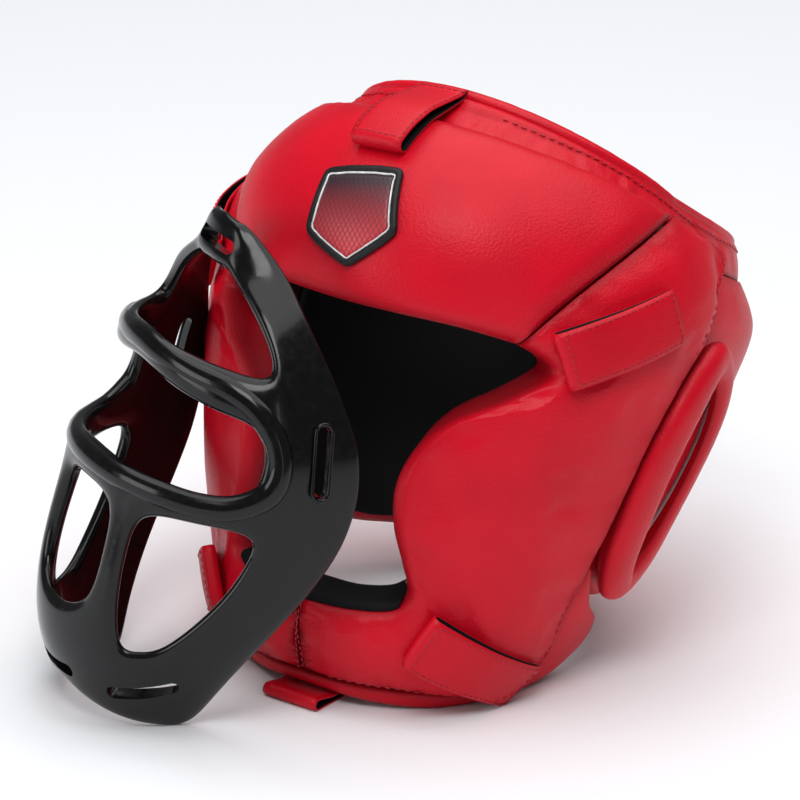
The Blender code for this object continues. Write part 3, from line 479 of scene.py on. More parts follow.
def spread_stations(length, round_a, round_b, step):
    """Distances from edge A and how far the skin drops there."""
    places = rolled_edge(round_a)
    start, end = round_a, length - round_b
    count = max(3, int((end - start) / step))
    places += [(start + (end - start) * i / count, 0.0) for i in range(1, count)]
    return places + [(length - away, drop) for away, drop in reversed(rolled_edge(round_b))]


def gather(along, away, pitch, reach, seed):
    """Small folds that start at a seam and fade away from it, from -1 to 1."""
    fade = math.exp(-away / reach) * min(1.0, away / 0.003)
    value = noise.noise(Vector((along / pitch, away / (pitch * 3.0), seed)))
    return fade * value * 1.6


def eased(value):
    """A smooth step from 0 to 1."""
    value = min(max(value, 0.0), 1.0)
    return value * value * (3 - 2 * value)


# %% Places along and across a table
MEASURE_STEPS = 240
ACROSS_STEPS = 12


def row_spot(table, place, share, seam=None):
    """Turn and height at a place along a table and a share across it."""
    row = smooth_through(table, place)
    turn = row[0] + (row[2] - row[0]) * share
    height = row[1] + (row[3] - row[1]) * share + row[4] * 4 * share * (1 - share)
    if seam:
        turn = seam(row, share, turn, height)
    return turn, height


def length_between(points):
    """Length of a line through some points."""
    return sum((b - a).length for a, b in zip(points, points[1:]))


def place_at(table, distance, from_end=False):
    """Place in a table at a distance along its middle."""
    last = len(table) - 1
    travelled = 0.0
    before = None
    for index in range(MEASURE_STEPS + 1):
        place = last * index / MEASURE_STEPS
        if from_end:
            place = last - place
        point = surface(*row_spot(table, place, 0.5))
        if before is not None:
            travelled += (point - before).length
        if travelled >= distance:
            return place
        before = point
    return last


def table_length(table):
    """Length of a table along its middle."""
    points = [surface(*row_spot(table, (len(table) - 1) * i / 120, 0.5)) for i in range(121)]
    return length_between(points)


def widest(table, seam):
    """Longest line across a table."""
    longest = 0.0
    for index in range(13):
        place = (len(table) - 1) * index / 12
        points = [surface(*row_spot(table, place, i / 8, seam)) for i in range(9)]
        longest = max(longest, length_between(points))
    return longest


# %% The pad's grid
SWELL_REACH = 0.016
SHADE_REACH = 0.0028
EDGE_PITCH, EDGE_REACH = 0.009, 0.010
END_PITCH, END_REACH = 0.008, 0.009


def lay_pad(table, depth, level=0.0, rounds=(EDGE_ROUND, EDGE_ROUND), seams=(True, True),
            puff=PUFF, step=0.0035, seam=None, edge_gap=GAP, folds=0.0005, seed=0.0,
            end_round=0.0013):
    """The grid of a pad: outer points, inner points, painted seam shade, rows and columns."""
    total = table_length(table)
    along_places = spread_stations(total, end_round if seams[0] else 0.0004,
                                   end_round if seams[1] else 0.0004, step)
    middle_count = max(4, int(max(0.02, widest(table, seam)) / step))
    outer, inner, near = [], [], []
    for away_start, end_drop in along_places:
        away_end = total - away_start
        if away_start < total / 2:
            place = place_at(table, away_start + edge_gap)
        else:
            place = place_at(table, away_end + edge_gap, from_end=True)
        width = length_between([surface(*row_spot(table, place, i / ACROSS_STEPS, seam))
                                for i in range(ACROSS_STEPS + 1)])
        start, end = rounds[0] / width, 1 - rounds[1] / width
        across = [(away / width, drop) for away, drop in rolled_edge(rounds[0])]
        across += [(start + (end - start) * i / middle_count, 0.0) for i in range(1, middle_count)]
        across += [(1 - away / width, drop) for away, drop in reversed(rolled_edge(rounds[1]))]
        held_in = min(away_start if seams[0] else 1.0, away_end if seams[1] else 1.0)
        fade = eased(held_in / SWELL_REACH)
        for share, drop in across:
            turn, height = row_spot(table, place, share * (1 - edge_gap / width), seam)
            swell = math.sin(math.pi * min(max(share, 0.0), 1.0)) ** 0.7
            away_a, away_b = share * width, (1 - share) * width
            fold = gather(away_start, away_a, EDGE_PITCH, EDGE_REACH, seed)
            fold += gather(away_start, away_b, EDGE_PITCH, EDGE_REACH, seed + 3.0)
            if seams[0]:
                fold += gather(away_a, away_start, END_PITCH, END_REACH, seed + 7.0)
            if seams[1]:
                fold += gather(away_a, away_end, END_PITCH, END_REACH, seed + 11.0)
            offset = level - max(drop, end_drop) + puff * swell * fade + folds * fold
            outer.append(lifted(turn, height, offset))
            inner.append(lifted(turn, height, level - depth, GAP))
            # Painted shade: the leather is darkened near the closest seam or edge, fading over
            # SHADE_REACH.
            closest = min(away_a, away_b, held_in)
            near.append(math.exp(-closest / SHADE_REACH))
    return {"outer": outer, "inner": inner, "near": near, "rows": len(along_places),
            "columns": len(outer) // len(along_places)}


# %% Meshes from grids
def slab_faces(rows, columns):
    """Faces of a closed slab: an outer grid, an inner grid and its four walls."""
    inner = rows * columns
    faces = []
    for row in range(rows - 1):
        for column in range(columns - 1):
            a, b = row * columns + column, row * columns + column + 1
            c, d = a + columns + 1, a + columns
            faces += [(a, b, c, d), (inner + a, inner + d, inner + c, inner + b)]
        for column in (0, columns - 1):
            a, b = row * columns + column, (row + 1) * columns + column
            faces.append((a, b, inner + b, inner + a))
    for row in (0, rows - 1):
        for column in range(columns - 1):
            a = row * columns + column
            faces.append((a, a + 1, inner + a + 1, inner + a))
    return faces


def make_piece(name, points, faces, looks, seam_shade_values=None, face_looks=None):
    """A smooth-shaded piece whose place is in its mesh and whose faces point out."""
    shape = bmesh.new()
    made = [shape.verts.new(point) for point in points]
    for face in faces:
        shape.faces.new([made[index] for index in face])
    bmesh.ops.recalc_face_normals(shape, faces=shape.faces)
    mesh = bpy.data.meshes.new(name)
    shape.to_mesh(mesh)
    shape.free()
    mesh.shade_smooth()
    for look in looks:
        mesh.materials.append(look)
    # The seam values are painted shade: they darken the leather near its seams.
    if seam_shade_values:
        layer = mesh.attributes.new("seam", "FLOAT", "POINT")
        layer.data.foreach_set("value", seam_shade_values)
    if face_looks:
        mesh.polygons.foreach_set("material_index", face_looks)
    piece = bpy.data.objects.new(name, mesh)
    scene.collection.objects.link(piece)
    return piece


def finish_piece(piece, slot, *nodes):
    """Rides, and stands for the given solids. The slot is not used."""
    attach(piece, "root")
    if nodes:
        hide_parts(*nodes)
    return piece


def padded_piece(name, plan, fill, *nodes):
    """A closed leather piece over foam, from its grid."""
    piece = make_piece(name, plan["outer"] + plan["inner"],
                       slab_faces(plan["rows"], plan["columns"]), [pad_leather],
                       plan["near"] + [0.0] * len(plan["inner"]))
    finish_piece(piece, "leather", *nodes)
    return piece


# %% [markdown]
# ## The four big pads
# Forehead, two sides and the back are laid first. Their outer leather is then pressed out by a
# short cloth simulation with its borders pinned, which rounds it and lets it crease by itself.
# Each point may only move a little, so the pads keep the form of their solids.

# %% Tables of the pads
def mirrored_table(table):
    """A table from the left edge to the middle, carried on to the right edge."""
    middle = table[-1][0]
    return table + [(2 * middle - r[0], r[1], 2 * middle - r[2], r[3], r[4])
                    for r in reversed(table[:-1])]


def side_table(sign):
    """Both edges of a side pad in one table."""
    return [(sign * a[0], a[1], sign * b[0], b[1], b[2]) for a, b in zip(FACE_EDGE, REAR_EDGE)]


def rear_seam_turn(height):
    """Turn of the rear seam at a height share, on the wearer's left."""
    seam_rows = [(row[0], row[1]) for row in REAR_EDGE]
    low, high = 1.0, 9.6
    for _ in range(24):
        middle = (low + high) / 2
        if smooth_through(seam_rows, middle)[1] > height:
            low = middle
        else:
            high = middle
    return smooth_through(seam_rows, low)[0]


rear_seam_turns = [rear_seam_turn(i / 200 - 0.2) for i in range(241)]


def along_rear_seam(row, share, turn, height):
    """Bends the back pad's first rows along the side pad's rear seam."""
    first = BACK_EDGES[0]
    side = 1.0 if turn <= 180.0 else -1.0
    near = max(0.0, 1 - (min(row[0], 360.0 - row[0]) - first[0]) / 30.0)
    straight = first[0] + (first[2] - first[0]) * share
    at = (first[1] + (first[3] - first[1]) * share + 0.2) * 200
    true = rear_seam_turns[min(max(int(round(at)), 0), 240)]
    return turn + side * (true - straight) * near ** 1.5


# %% Lay the pads
REAR_ROUND = 0.0032
BACK_TOP_ROUND = 0.0020
BACK_PUFF = 0.002
pad_plans = {
    "forehead_pad": lay_pad(mirrored_table(FOREHEAD), PAD_DEPTH, seed=1.0),
    "side_pad_left": lay_pad(side_table(1.0), PAD_DEPTH, rounds=(EDGE_ROUND, REAR_ROUND), seed=20.0),
    "side_pad_right": lay_pad(side_table(-1.0), PAD_DEPTH, rounds=(EDGE_ROUND, REAR_ROUND),
                              seed=40.0),
    "back_pad": lay_pad(mirrored_table(BACK_EDGES), BACK_DEPTH, level=-BACK_RECESS,
                        rounds=(SEAM_ROUND, BACK_TOP_ROUND), puff=BACK_PUFF, seam=along_rear_seam,
                        seed=60.0),
}
for name, plan in pad_plans.items():
    print(name, plan["rows"], "rows", plan["columns"], "columns")


# %% Press the leather out with cloth
HEAD_MIDDLE = Vector((0.0, 0.03, 0.12))
PINNED_ROWS = 4
PINNED_COLUMNS = 5


def pressed_out(plans, pressure, grow, cap, frames):
    """Runs one cloth simulation on the outer grids of several pads at once."""
    runs = []
    for name, plan in plans.items():
        rows, columns = plan["rows"], plan["columns"]
        faces = [(r * columns + c, r * columns + c + 1, (r + 1) * columns + c + 1,
                  (r + 1) * columns + c) for r in range(rows - 1) for c in range(columns - 1)]
        mesh = bpy.data.meshes.new(name + "_sheet")
        mesh.from_pydata(plan["outer"], [], faces)
        face = mesh.polygons[len(mesh.polygons) // 2]
        if (face.center - HEAD_MIDDLE).dot(face.normal) < 0:
            mesh.flip_normals()
        sheet = bpy.data.objects.new(name + "_sheet", mesh)
        scene.collection.objects.link(sheet)
        border = sheet.vertex_groups.new(name="border")
        held = [r * columns + c for r in range(rows) for c in range(columns)
                if min(r, rows - 1 - r) < PINNED_ROWS or min(c, columns - 1 - c) < PINNED_COLUMNS]
        border.add(held, 1.0, "ADD")
        cloth = sheet.modifiers.new("cloth", "CLOTH")
        cloth.settings.quality = 5
        cloth.settings.mass = 0.2
        cloth.settings.tension_stiffness = 12.0
        cloth.settings.compression_stiffness = 12.0
        cloth.settings.bending_stiffness = 0.6
        cloth.settings.vertex_group_mass = "border"
        cloth.settings.use_pressure = True
        cloth.settings.uniform_pressure_force = pressure
        cloth.settings.shrink_min = -grow
        cloth.settings.effector_weights.gravity = 0.0
        cloth.collision_settings.use_collision = False
        cloth.point_cache.frame_end = frames
        runs.append((plan, sheet))
    for number in range(1, frames + 1):
        scene.frame_set(number)
    graph = bpy.context.evaluated_depsgraph_get()
    for plan, sheet in runs:
        moved = sheet.evaluated_get(graph).data.vertices
        largest = 0.0
        for index, vertex in enumerate(moved):
            step = vertex.co - plan["outer"][index]
            largest = max(largest, step.length)
            if step.length > cap:
                step = step.normalized() * cap
            point = plan["outer"][index] + step
            point.z = max(point.z, 0.0)
            plan["outer"][index] = point
        print(sheet.name, "moved up to mm", round(largest * 1000, 2))
        bpy.data.objects.remove(sheet, do_unlink=True)
    scene.frame_set(1)


pressed_out(pad_plans, pressure=1.0, grow=0.010, cap=0.0016, frames=14)

# %% Build the pads
pads = {name: padded_piece(name + "_leather", plan, 0.85, name) for name, plan in pad_plans.items()}

# %% [markdown]
# ## Linings
# The black lining covers the whole inside. It is laid like the pads, two millimetres thick, with
# no rounding, on the inner side of the foam.

# %% Linings
SHARP = 0.0002


def lay_lining(name, table, depth, level, solid, seam=None):
    """A thin flat panel just inside a pad."""
    plan = lay_pad(table, LINING, level=level - depth - GAP, rounds=(SHARP, SHARP),
                   seams=(False, False), puff=0.0, seam=seam, folds=0.0, step=0.008)
    piece = make_piece(name, plan["outer"] + plan["inner"],
                       slab_faces(plan["rows"], plan["columns"]), [lining_cloth])
    return finish_piece(piece, "lining", solid)


lay_lining("forehead_lining", mirrored_table(FOREHEAD), PAD_DEPTH, 0.0, "front_lining")
lay_lining("cheek_lining_left", side_table(1.0), PAD_DEPTH, 0.0, "side_lining_left")
lay_lining("cheek_lining_right", side_table(-1.0), PAD_DEPTH, 0.0, "side_lining_right")
lay_lining("nape_lining", mirrored_table(BACK_EDGES), BACK_DEPTH, -BACK_RECESS, "back_lining",
           seam=along_rear_seam)

# %% [markdown]
# ## Jaw panels and the band under the chin
# Behind the jaw seam and below the chin's crease the leather covers only thin foam, so these
# pieces are flatter, with tight edges.

# %% Jaw panels and chin band
for sign, side in ((1.0, "left"), (-1.0, "right")):
    flap = [(sign * r[0], r[1], sign * r[2], r[3], r[4]) for r in FLAP_EDGES]
    plan = lay_pad(flap, FLAP_DEPTH, level=-0.003, rounds=(0.001, 0.003), seams=(False, False),
                   puff=0.001, folds=0.0003, seed=80.0 + sign, edge_gap=0.0006)
    pads["jaw_panel_" + side] = padded_piece("jaw_panel_" + side, plan, 0.7, "jaw_flap_" + side)
plan = lay_pad(mirrored_table(CHIN_BAND), FLAP_DEPTH, level=-0.002, rounds=(0.004, 0.002),
               seams=(False, False), puff=0.0005, folds=0.0003, seed=90.0)
pads["under_chin"] = padded_piece("under_chin_band", plan, 0.7, "chin_band")


# %% [markdown]
# ## Crown band and its rolled rim
# The top of the guard is a thin unpadded band, gathered between the pads' top edge and the rolled
# rim, so it shows shallow upright folds. Its inside is lining.

# %% Crown band
def off_front(turn):
    """Degrees away from the face, on either side."""
    return abs((turn + 180.0) % 360.0 - 180.0)


def pad_top(turn):
    """Height share of the padding's top edge at a turn."""
    turn = off_front(turn)
    for low, high in zip(PAD_TOP, PAD_TOP[1:]):
        if turn <= high[0]:
            return low[1] + (high[1] - low[1]) * (turn - low[0]) / (high[0] - low[0])
    return PAD_TOP[-1][1]


def rim_height(turn):
    """Height share of the crown's rim at a turn."""
    return 1.0 - 0.03 * (1 - math.cos(math.radians(turn))) / 2


CROWN_STEPS = 240
CROWN_LEVELS = 14
HEM_SHARE = 0.80
CROWN_TUCK = 0.004
REAR_SINK = 0.0066
HEM_RISE = 0.0007
OUTER_FOLD = 0.0011
INNER_FOLD = 0.0006
outer, inner, near = [], [], []
for step in range(CROWN_STEPS):
    turn = 360.0 * step / CROWN_STEPS
    low, high = pad_top(turn) - CROWN_TUCK, rim_height(turn)
    for level in range(CROWN_LEVELS):
        share = level / (CROWN_LEVELS - 1)
        height = low + (high - low) * share
        around = math.radians(turn)
        fold = noise.noise(Vector((math.sin(around) * 14.0, math.cos(around) * 14.0, share * 0.9)))
        fold += 0.5 * noise.noise(Vector((math.sin(around) * 32.0, math.cos(around) * 32.0, share)))
        belly = math.sin(math.pi * share)
        double = HEM_RISE if share > HEM_SHARE else 0.0
        behind = min(max((off_front(turn) - 84.0) / 22.0, 0.0), 1.0)
        sink = CROWN_SINK + REAR_SINK * behind * (1 - share) ** 1.4
        outer.append(lifted(turn, height, -sink + OUTER_FOLD * fold * belly + double))
        inner.append(lifted(turn, height, -sink - SKIN + INNER_FOLD * fold * belly))
        # Painted shade: darker where the band tucks under the pads' top edge and along the doubled hem.
        near.append(math.exp(-share / 0.08) + 0.6 * math.exp(-abs(share - HEM_SHARE) / 0.03))
points = outer + inner
layer_size = len(outer)
faces, looks = [], []
for step in range(CROWN_STEPS):
    a0, b0 = step * CROWN_LEVELS, (step + 1) % CROWN_STEPS * CROWN_LEVELS
    for level in range(CROWN_LEVELS - 1):
        a, b, c, d = a0 + level, b0 + level, b0 + level + 1, a0 + level + 1
        faces += [(a, b, c, d), (layer_size + a, layer_size + d, layer_size + c, layer_size + b)]
        looks += [0, 1]
    for level in (0, CROWN_LEVELS - 1):
        faces.append((a0 + level, b0 + level, layer_size + b0 + level, layer_size + a0 + level))
        looks.append(0)
crown = make_piece("crown_band_leather", points, faces, [pad_leather, lining_cloth],
                   [min(1.0, value) for value in near] + [0.0] * layer_size, looks)
finish_piece(crown, "leather", "crown_band")
pads["crown"] = crown


# %% Tubes that follow a path
def sweep(centres, sides_of, steps_round, closed=True):
    """Points and faces of a tube. sides_of(i) gives (across vector, outward vector)."""
    points = []
    count = len(centres)
    for index, centre in enumerate(centres):
        across, out = sides_of(index)[:2]
        power = sides_of(index)[2] if len(sides_of(index)) > 2 else 1.0
        for corner in range(steps_round):
            angle = 2 * math.pi * corner / steps_round
            way, rise = math.cos(angle), math.sin(angle)
            points.append(centre + across * math.copysign(abs(way) ** power, way)
                          + out * math.copysign(abs(rise) ** power, rise))
    faces = []
    for index in range(count if closed else count - 1):
        for corner in range(steps_round):
            following = (index + 1) % count
            beside = (corner + 1) % steps_round
            faces.append((index * steps_round + corner, index * steps_round + beside,
                          following * steps_round + beside, following * steps_round + corner))
    if not closed:
        faces.append(tuple(range(steps_round)))
        faces.append(tuple(range((count - 1) * steps_round, count * steps_round)))
    return points, faces


# %% Rolled rim
rim_centres, rim_frames = [], []
for step in range(CROWN_STEPS):
    turn = 360.0 * step / CROWN_STEPS
    height = rim_height(turn)
    normal = outward(turn, height)
    rise = (surface(turn, height) - surface(turn, height - 0.02)).normalized()
    centre = surface(turn, height) - normal * (CROWN_SINK + SKIN / 2) + rise * RIM_RADIUS
    pinch = 1 + 0.05 * noise.noise(Vector((step * 0.35, 0.0, 5.0)))
    rim_centres.append(guard_place @ centre)
    rotation = guard_place.to_3x3()
    rim_frames.append((rotation @ normal * RIM_RADIUS * pinch, rotation @ rise * RIM_RADIUS * pinch))
points, faces = sweep(rim_centres, lambda i: rim_frames[i], 14)
rim = make_piece("crown_rim_roll", points, faces, [pad_leather])
finish_piece(rim, "leather", "crown_rim")
pads["rim"] = rim

# %% [markdown]
# ## Ear rolls
# Each ear has an oval roll of foam round a flat floor. It is fullest at the front and thins where
# it passes behind the ear.

# %% Ear rolls
EAR_WIDTH = 0.019
EAR_HEIGHT = 0.014
EAR_LEVEL = 0.0026 - BACK_RECESS


def ear_frames(sign, steps=120):
    """Centres and cross directions of the roll round one ear, with the roll's own path."""
    line = [(sign * t, h, s) for t, h, s in EAR_LINE]
    closed = [line[-1]] + line + [line[0], line[1]]
    rotation = guard_place.to_3x3()
    centres, sides, spots = [], [], []
    for step in range(steps):
        place = 1 + step * len(line) / steps
        turn, height, size = smooth_through(closed, place)
        ahead = smooth_through(closed, place + 0.05)
        behind = smooth_through(closed, place - 0.05)
        normal = outward(turn, height)
        along = (surface(*ahead[:2]) - surface(*behind[:2])).normalized()
        side = along.cross(normal).normalized()
        rise = EAR_HEIGHT * size
        pucker = 1 + 0.02 * noise.noise(Vector((step * 0.5, sign, 9.0)))
        front = min(max((88.0 - abs(turn)) / 8.0, 0.0), 1.0)
        centre = surface(turn - sign * 0.5 * front, height)
        centres.append(guard_place @ (centre + normal * (EAR_LEVEL + rise / 2)))
        sides.append((rotation @ side * EAR_WIDTH * (0.4 + 0.6 * size) / 2 * pucker,
                      rotation @ normal * rise / 2 * pucker, 1 - 0.35 * front))
        spots.append((turn, height))
    return centres, sides, spots


for sign, side in ((1.0, "left"), (-1.0, "right")):
    centres, sides, spots = ear_frames(sign)
    points, faces = sweep(centres, lambda i: sides[i], 20)
    # Painted shade on the roll's inner and outer walls, at half its height.
    flank_shade = [max(0.0, 1 - abs(math.sin(2 * math.pi * (k % 20) / 20)) * 3.0)
                 for k in range(len(points))]
    roll = make_piece("ear_roll_" + side, points, faces, [pad_leather], flank_shade)
    finish_piece(roll, "leather", "ear_pad_" + side)
    pads["ear_roll_" + side] = roll

# %% [markdown]
# ## Straps
# Each strap is a band of leather folded into a flat loop and sewn down at one end. Its inner face
# is black hook tape, which shows as a dark gap in the loop. A strap is laid over whatever lies
# outermost below it, so it follows the padding without cutting into it.

# %% Search trees and points on them
def tree_over(items):
    """One search tree over the meshes of some pieces."""
    vertices, polygons = [], []
    for item in items:
        first = len(vertices)
        vertices += [vertex.co.copy() for vertex in item.data.vertices]
        polygons += [[first + i for i in polygon.vertices] for polygon in item.data.polygons]
    return BVHTree.FromPolygons(vertices, polygons)


LOOK_FROM = 0.05
LOOK_REACH = 0.09


def seat_over(tree, turn, height):
    """How far outside the form the outermost piece lies."""
    normal = guard_place.to_3x3() @ outward(turn, height)
    start = guard_place @ surface(turn, height) + normal * LOOK_FROM
    hit = tree.ray_cast(start, -normal, LOOK_REACH)
    return LOOK_FROM - hit[3] if hit[0] else -0.02


def on_tree(tree, turn, height, above):
    """Point above whatever lies outermost at a turn and height."""
    normal = guard_place.to_3x3() @ outward(turn, height)
    base = guard_place @ surface(turn, height)
    hit = tree.ray_cast(base + normal * LOOK_FROM, -normal, LOOK_REACH)
    return (hit[0] if hit[0] else base) + normal * above


padding = tree_over(list(pads.values()))

# %% Folded straps
STRAP_SKIN = 0.0015
STRAP_LOOP = 0.0040
TOP_STRAP_LOOP = 0.0056
ACROSS = 9
EDGE_THINNING = 0.55
# Two sewn corners, then two folded corners, as turn and height
STRAP_CORNERS = {
    "cheek": ((69.4, 0.789), (74.2, 0.703), (46.2, 0.672), (51.8, 0.586)),
    "jaw": ((73.0, 0.030), (65.8, -0.044), (38.4, 0.145), (33.4, 0.057)),
    "top": ((5.4, 1.006), (-12.5, 1.003), (4.6, 0.884), (-8.6, 0.880)),
}


def finish_band(name, points, count, solid):
    """A folded band from two layers of points, red outside and black inside."""
    faces, looks = [], []

    def at(layer, side, index):
        return (layer * ACROSS + side) * count + index

    for index in range(count - 1):
        for side in range(ACROSS - 1):
            for layer in (0, 1):
                faces.append((at(layer, side, index), at(layer, side, index + 1),
                              at(layer, side + 1, index + 1), at(layer, side + 1, index)))
                looks.append(layer)
        for side in (0, ACROSS - 1):
            faces.append((at(0, side, index), at(0, side, index + 1),
                          at(1, side, index + 1), at(1, side, index)))
            looks.append(0)
    for index in (0, count - 1):
        for side in range(ACROSS - 1):
            faces.append((at(0, side, index), at(0, side + 1, index),
                          at(1, side + 1, index), at(1, side, index)))
            looks.append(0)
    piece = make_piece(name, points, faces, [strap_leather, lining_cloth], None, looks)
    return finish_piece(piece, "leather", solid)


def strap_spot(corners, sign, along, side):
    """Turn and height at shares along and across a strap."""
    start = [corners[0][k] + (corners[1][k] - corners[0][k]) * side for k in (0, 1)]
    end = [corners[2][k] + (corners[3][k] - corners[2][k]) * side for k in (0, 1)]
    return sign * (start[0] + (end[0] - start[0]) * along), start[1] + (end[1] - start[1]) * along


def folded_strap(name, corners, sign, solid, loop=STRAP_LOOP):
    """A strap folded into a loop. Its layers close up at the sewn end."""
    steps, half = 26, STRAP_SKIN / 2
    length = length_between([surface(*strap_spot(corners, sign, i / 8, 0.5)) for i in range(9)])
    seat = [max(seat_over(padding, *strap_spot(corners, sign, step / steps, side / 8))
                for side in range(9)) for step in range(steps + 3)]
    for _ in range(60):
        for step in range(1, steps + 2):
            seat[step] = max(seat[step], (seat[step - 1] + seat[step + 1]) / 2)

    def seat_at(along):
        place = min(max(along, 0.0) * steps, steps + 1.999)
        row = int(place)
        return seat[row] + (seat[row + 1] - seat[row]) * (place - row)

    clear = half + 0.0004
    path = [(step / steps, clear) for step in range(steps + 1)]
    bend = (loop + STRAP_SKIN) / 2
    for angle in (-60.0, -30.0, 0.0, 30.0, 60.0):
        swing = math.radians(angle)
        path.append((1 + bend * math.cos(swing) / length, clear + bend + bend * math.sin(swing)))
    for step in range(steps, -1, -1):
        along = step / steps
        path.append((along, clear + STRAP_SKIN + GAP + (loop - GAP) * min(1.0, along / 0.85) ** 0.8))
    count = len(path)
    points = []
    for layer in (1, -1):
        for side in range(ACROSS):
            part = side / (ACROSS - 1)
            edge = 1 - EDGE_THINNING * (2 * abs(part - 0.5)) ** 10
            for index in range(count):
                before, after = path[max(index - 1, 0)], path[min(index + 1, count - 1)]
                run = Vector(((after[0] - before[0]) * length, after[1] - before[1])).normalized()
                share = path[index][0] + run.y * half * layer * edge / length
                rise = path[index][1] - run.x * half * layer * edge
                turn, height = strap_spot(corners, sign, share, part)
                points.append(lifted(turn, height, seat_at(share) + rise))
    return finish_band(name, points, count, solid)


straps = {}
for kind in ("cheek", "jaw"):
    for sign, side in ((1.0, "left"), (-1.0, "right")):
        node = kind + "_strap_" + side
        straps[node] = folded_strap(node + "_leather", STRAP_CORNERS[kind], sign, node)
straps["top_strap"] = folded_strap("top_strap_leather", STRAP_CORNERS["top"], 1.0, "top_strap",
                                   loop=TOP_STRAP_LOOP)

# %% Strap under the chin
CHIN_STRAP_WIDTH = 0.029
CHIN_STRAP_LENGTH = 0.042
CHIN_STRAP_FRONT = -0.0950
CHIN_STRAP_LOOP = 0.0032
CHIN_STRAP_TOP = [(0.00, 0.00545), (0.12, 0.00460), (0.26, 0.00345), (0.50, 0.00330),
                  (0.75, 0.00290), (1.00, 0.00260)]
half = STRAP_SKIN / 2
bend = (CHIN_STRAP_LOOP + STRAP_SKIN) / 2
path = [(CHIN_STRAP_FRONT + CHIN_STRAP_LENGTH * (1 - i / 8), half) for i in range(9)]
for angle in (-70.0, -45.0, -22.0, 0.0, 22.0, 45.0, 70.0):
    swing = math.radians(angle)
    path.append((CHIN_STRAP_FRONT - bend * math.cos(swing), half + bend + bend * math.sin(swing)))
for index in range(13):
    along = index / 12
    row = max(i for i in range(len(CHIN_STRAP_TOP) - 1) if CHIN_STRAP_TOP[i][0] <= min(along, 0.99))
    part = (along - CHIN_STRAP_TOP[row][0]) / (CHIN_STRAP_TOP[row + 1][0] - CHIN_STRAP_TOP[row][0])
    level = smooth_through(CHIN_STRAP_TOP, row + part)[1]
    path.append((CHIN_STRAP_FRONT + CHIN_STRAP_LENGTH * along, level))
points = []
count = len(path)
for layer in (1, -1):
    for side in range(ACROSS):
        part = side / (ACROSS - 1) - 0.5
        edge = 1 - EDGE_THINNING * (2 * abs(part)) ** 10
        for index in range(count):
            before, after = path[max(index - 1, 0)], path[min(index + 1, count - 1)]
            run = Vector((after[0] - before[0], after[1] - before[1])).normalized()
            flat_level = path[index][1] + run.x * half * layer * edge
            points.append(Vector((part * CHIN_STRAP_WIDTH,
                                  path[index][0] - run.y * half * layer * edge,
                                  max(flat_level, 0.00002))))
straps["chin_strap"] = finish_band("chin_strap_leather", points, count, "chin_strap")
print("straps", len(straps))

# %% [markdown]
# ## The badge
# A moulded rubber shield sits on the forehead: a black raised border, a thin pale line, and a
# field that fades from dark plum to red under a plain net pattern. It carries no mark.

# %% Badge field material
badge_field, nodes, links, shader = make_material("badge_field")
tree = badge_field.node_tree
down = nodes.new("ShaderNodeAttribute")
down.attribute_name = "down"
net = nodes.new("ShaderNodeAttribute")
net.attribute_name = "net_place"
fade = colour_blend(tree, down.outputs["Fac"], (0.028, 0.010, 0.018, 1.0), (0.66, 0.035, 0.05, 1.0))
cells = nodes.new("ShaderNodeTexVoronoi")
cells.feature = "DISTANCE_TO_EDGE"
cells.inputs["Scale"].default_value = 1.0
cells.inputs["Randomness"].default_value = 0.0
cells.voronoi_dimensions = "2D"
links.new(net.outputs["Vector"], cells.inputs["Vector"])
lines = value_range(tree, cells.outputs["Distance"], 0.04, 0.12, 1.0, 0.0)
links.new(colour_blend(tree, math_node(tree, "MULTIPLY", lines, 0.65), fade,
                       (0.020, 0.004, 0.006, 1.0)), shader.inputs["Base Color"])
links.new(value_range(tree, cells.outputs["Distance"], 0.0, 0.3, 0.55, 0.38),
          shader.inputs["Roughness"])
add_bump(tree, shader, cells.outputs["Distance"], 0.35, 0.0002)

# %% Badge shape
BADGE_WIDTH = 0.044
BADGE_HEIGHT = 0.043
BADGE_SLANT = math.radians(11.5)
BADGE_ASIDE = -0.0004
BADGE_RAISE = 0.0026
BADGE_LEVEL = 0.757
# Share of its height, share of its half width, from the tip to the top
BADGE_OUTLINE = [(0.0, 0.02), (0.012, 0.09), (0.09, 0.34), (0.22, 0.72), (0.31, 0.93), (0.35, 0.985),
                 (0.40, 1.0), (0.65, 0.94), (0.90, 0.885), (0.945, 0.865), (0.97, 0.81), (0.985, 0.7),
                 (1.0, 0.30)]
pad_surface = BVHTree.FromObject(pads["forehead_pad"], bpy.context.evaluated_depsgraph_get())


def badge_spot(x, y, above):
    """Point of the badge at metres right of and above its middle."""
    rise = (surface(0.0, BADGE_LEVEL + 0.05) - surface(0.0, BADGE_LEVEL - 0.05)).length / 0.1
    swing = math.degrees(1.0 / (form_row(BADGE_LEVEL)[0] * HALF_WIDTH))
    x, y = (x * math.cos(BADGE_SLANT) - y * math.sin(BADGE_SLANT) + BADGE_ASIDE,
            x * math.sin(BADGE_SLANT) + y * math.cos(BADGE_SLANT) + BADGE_RAISE)
    return on_tree(pad_surface, x * swing, BADGE_LEVEL + y / rise, above)


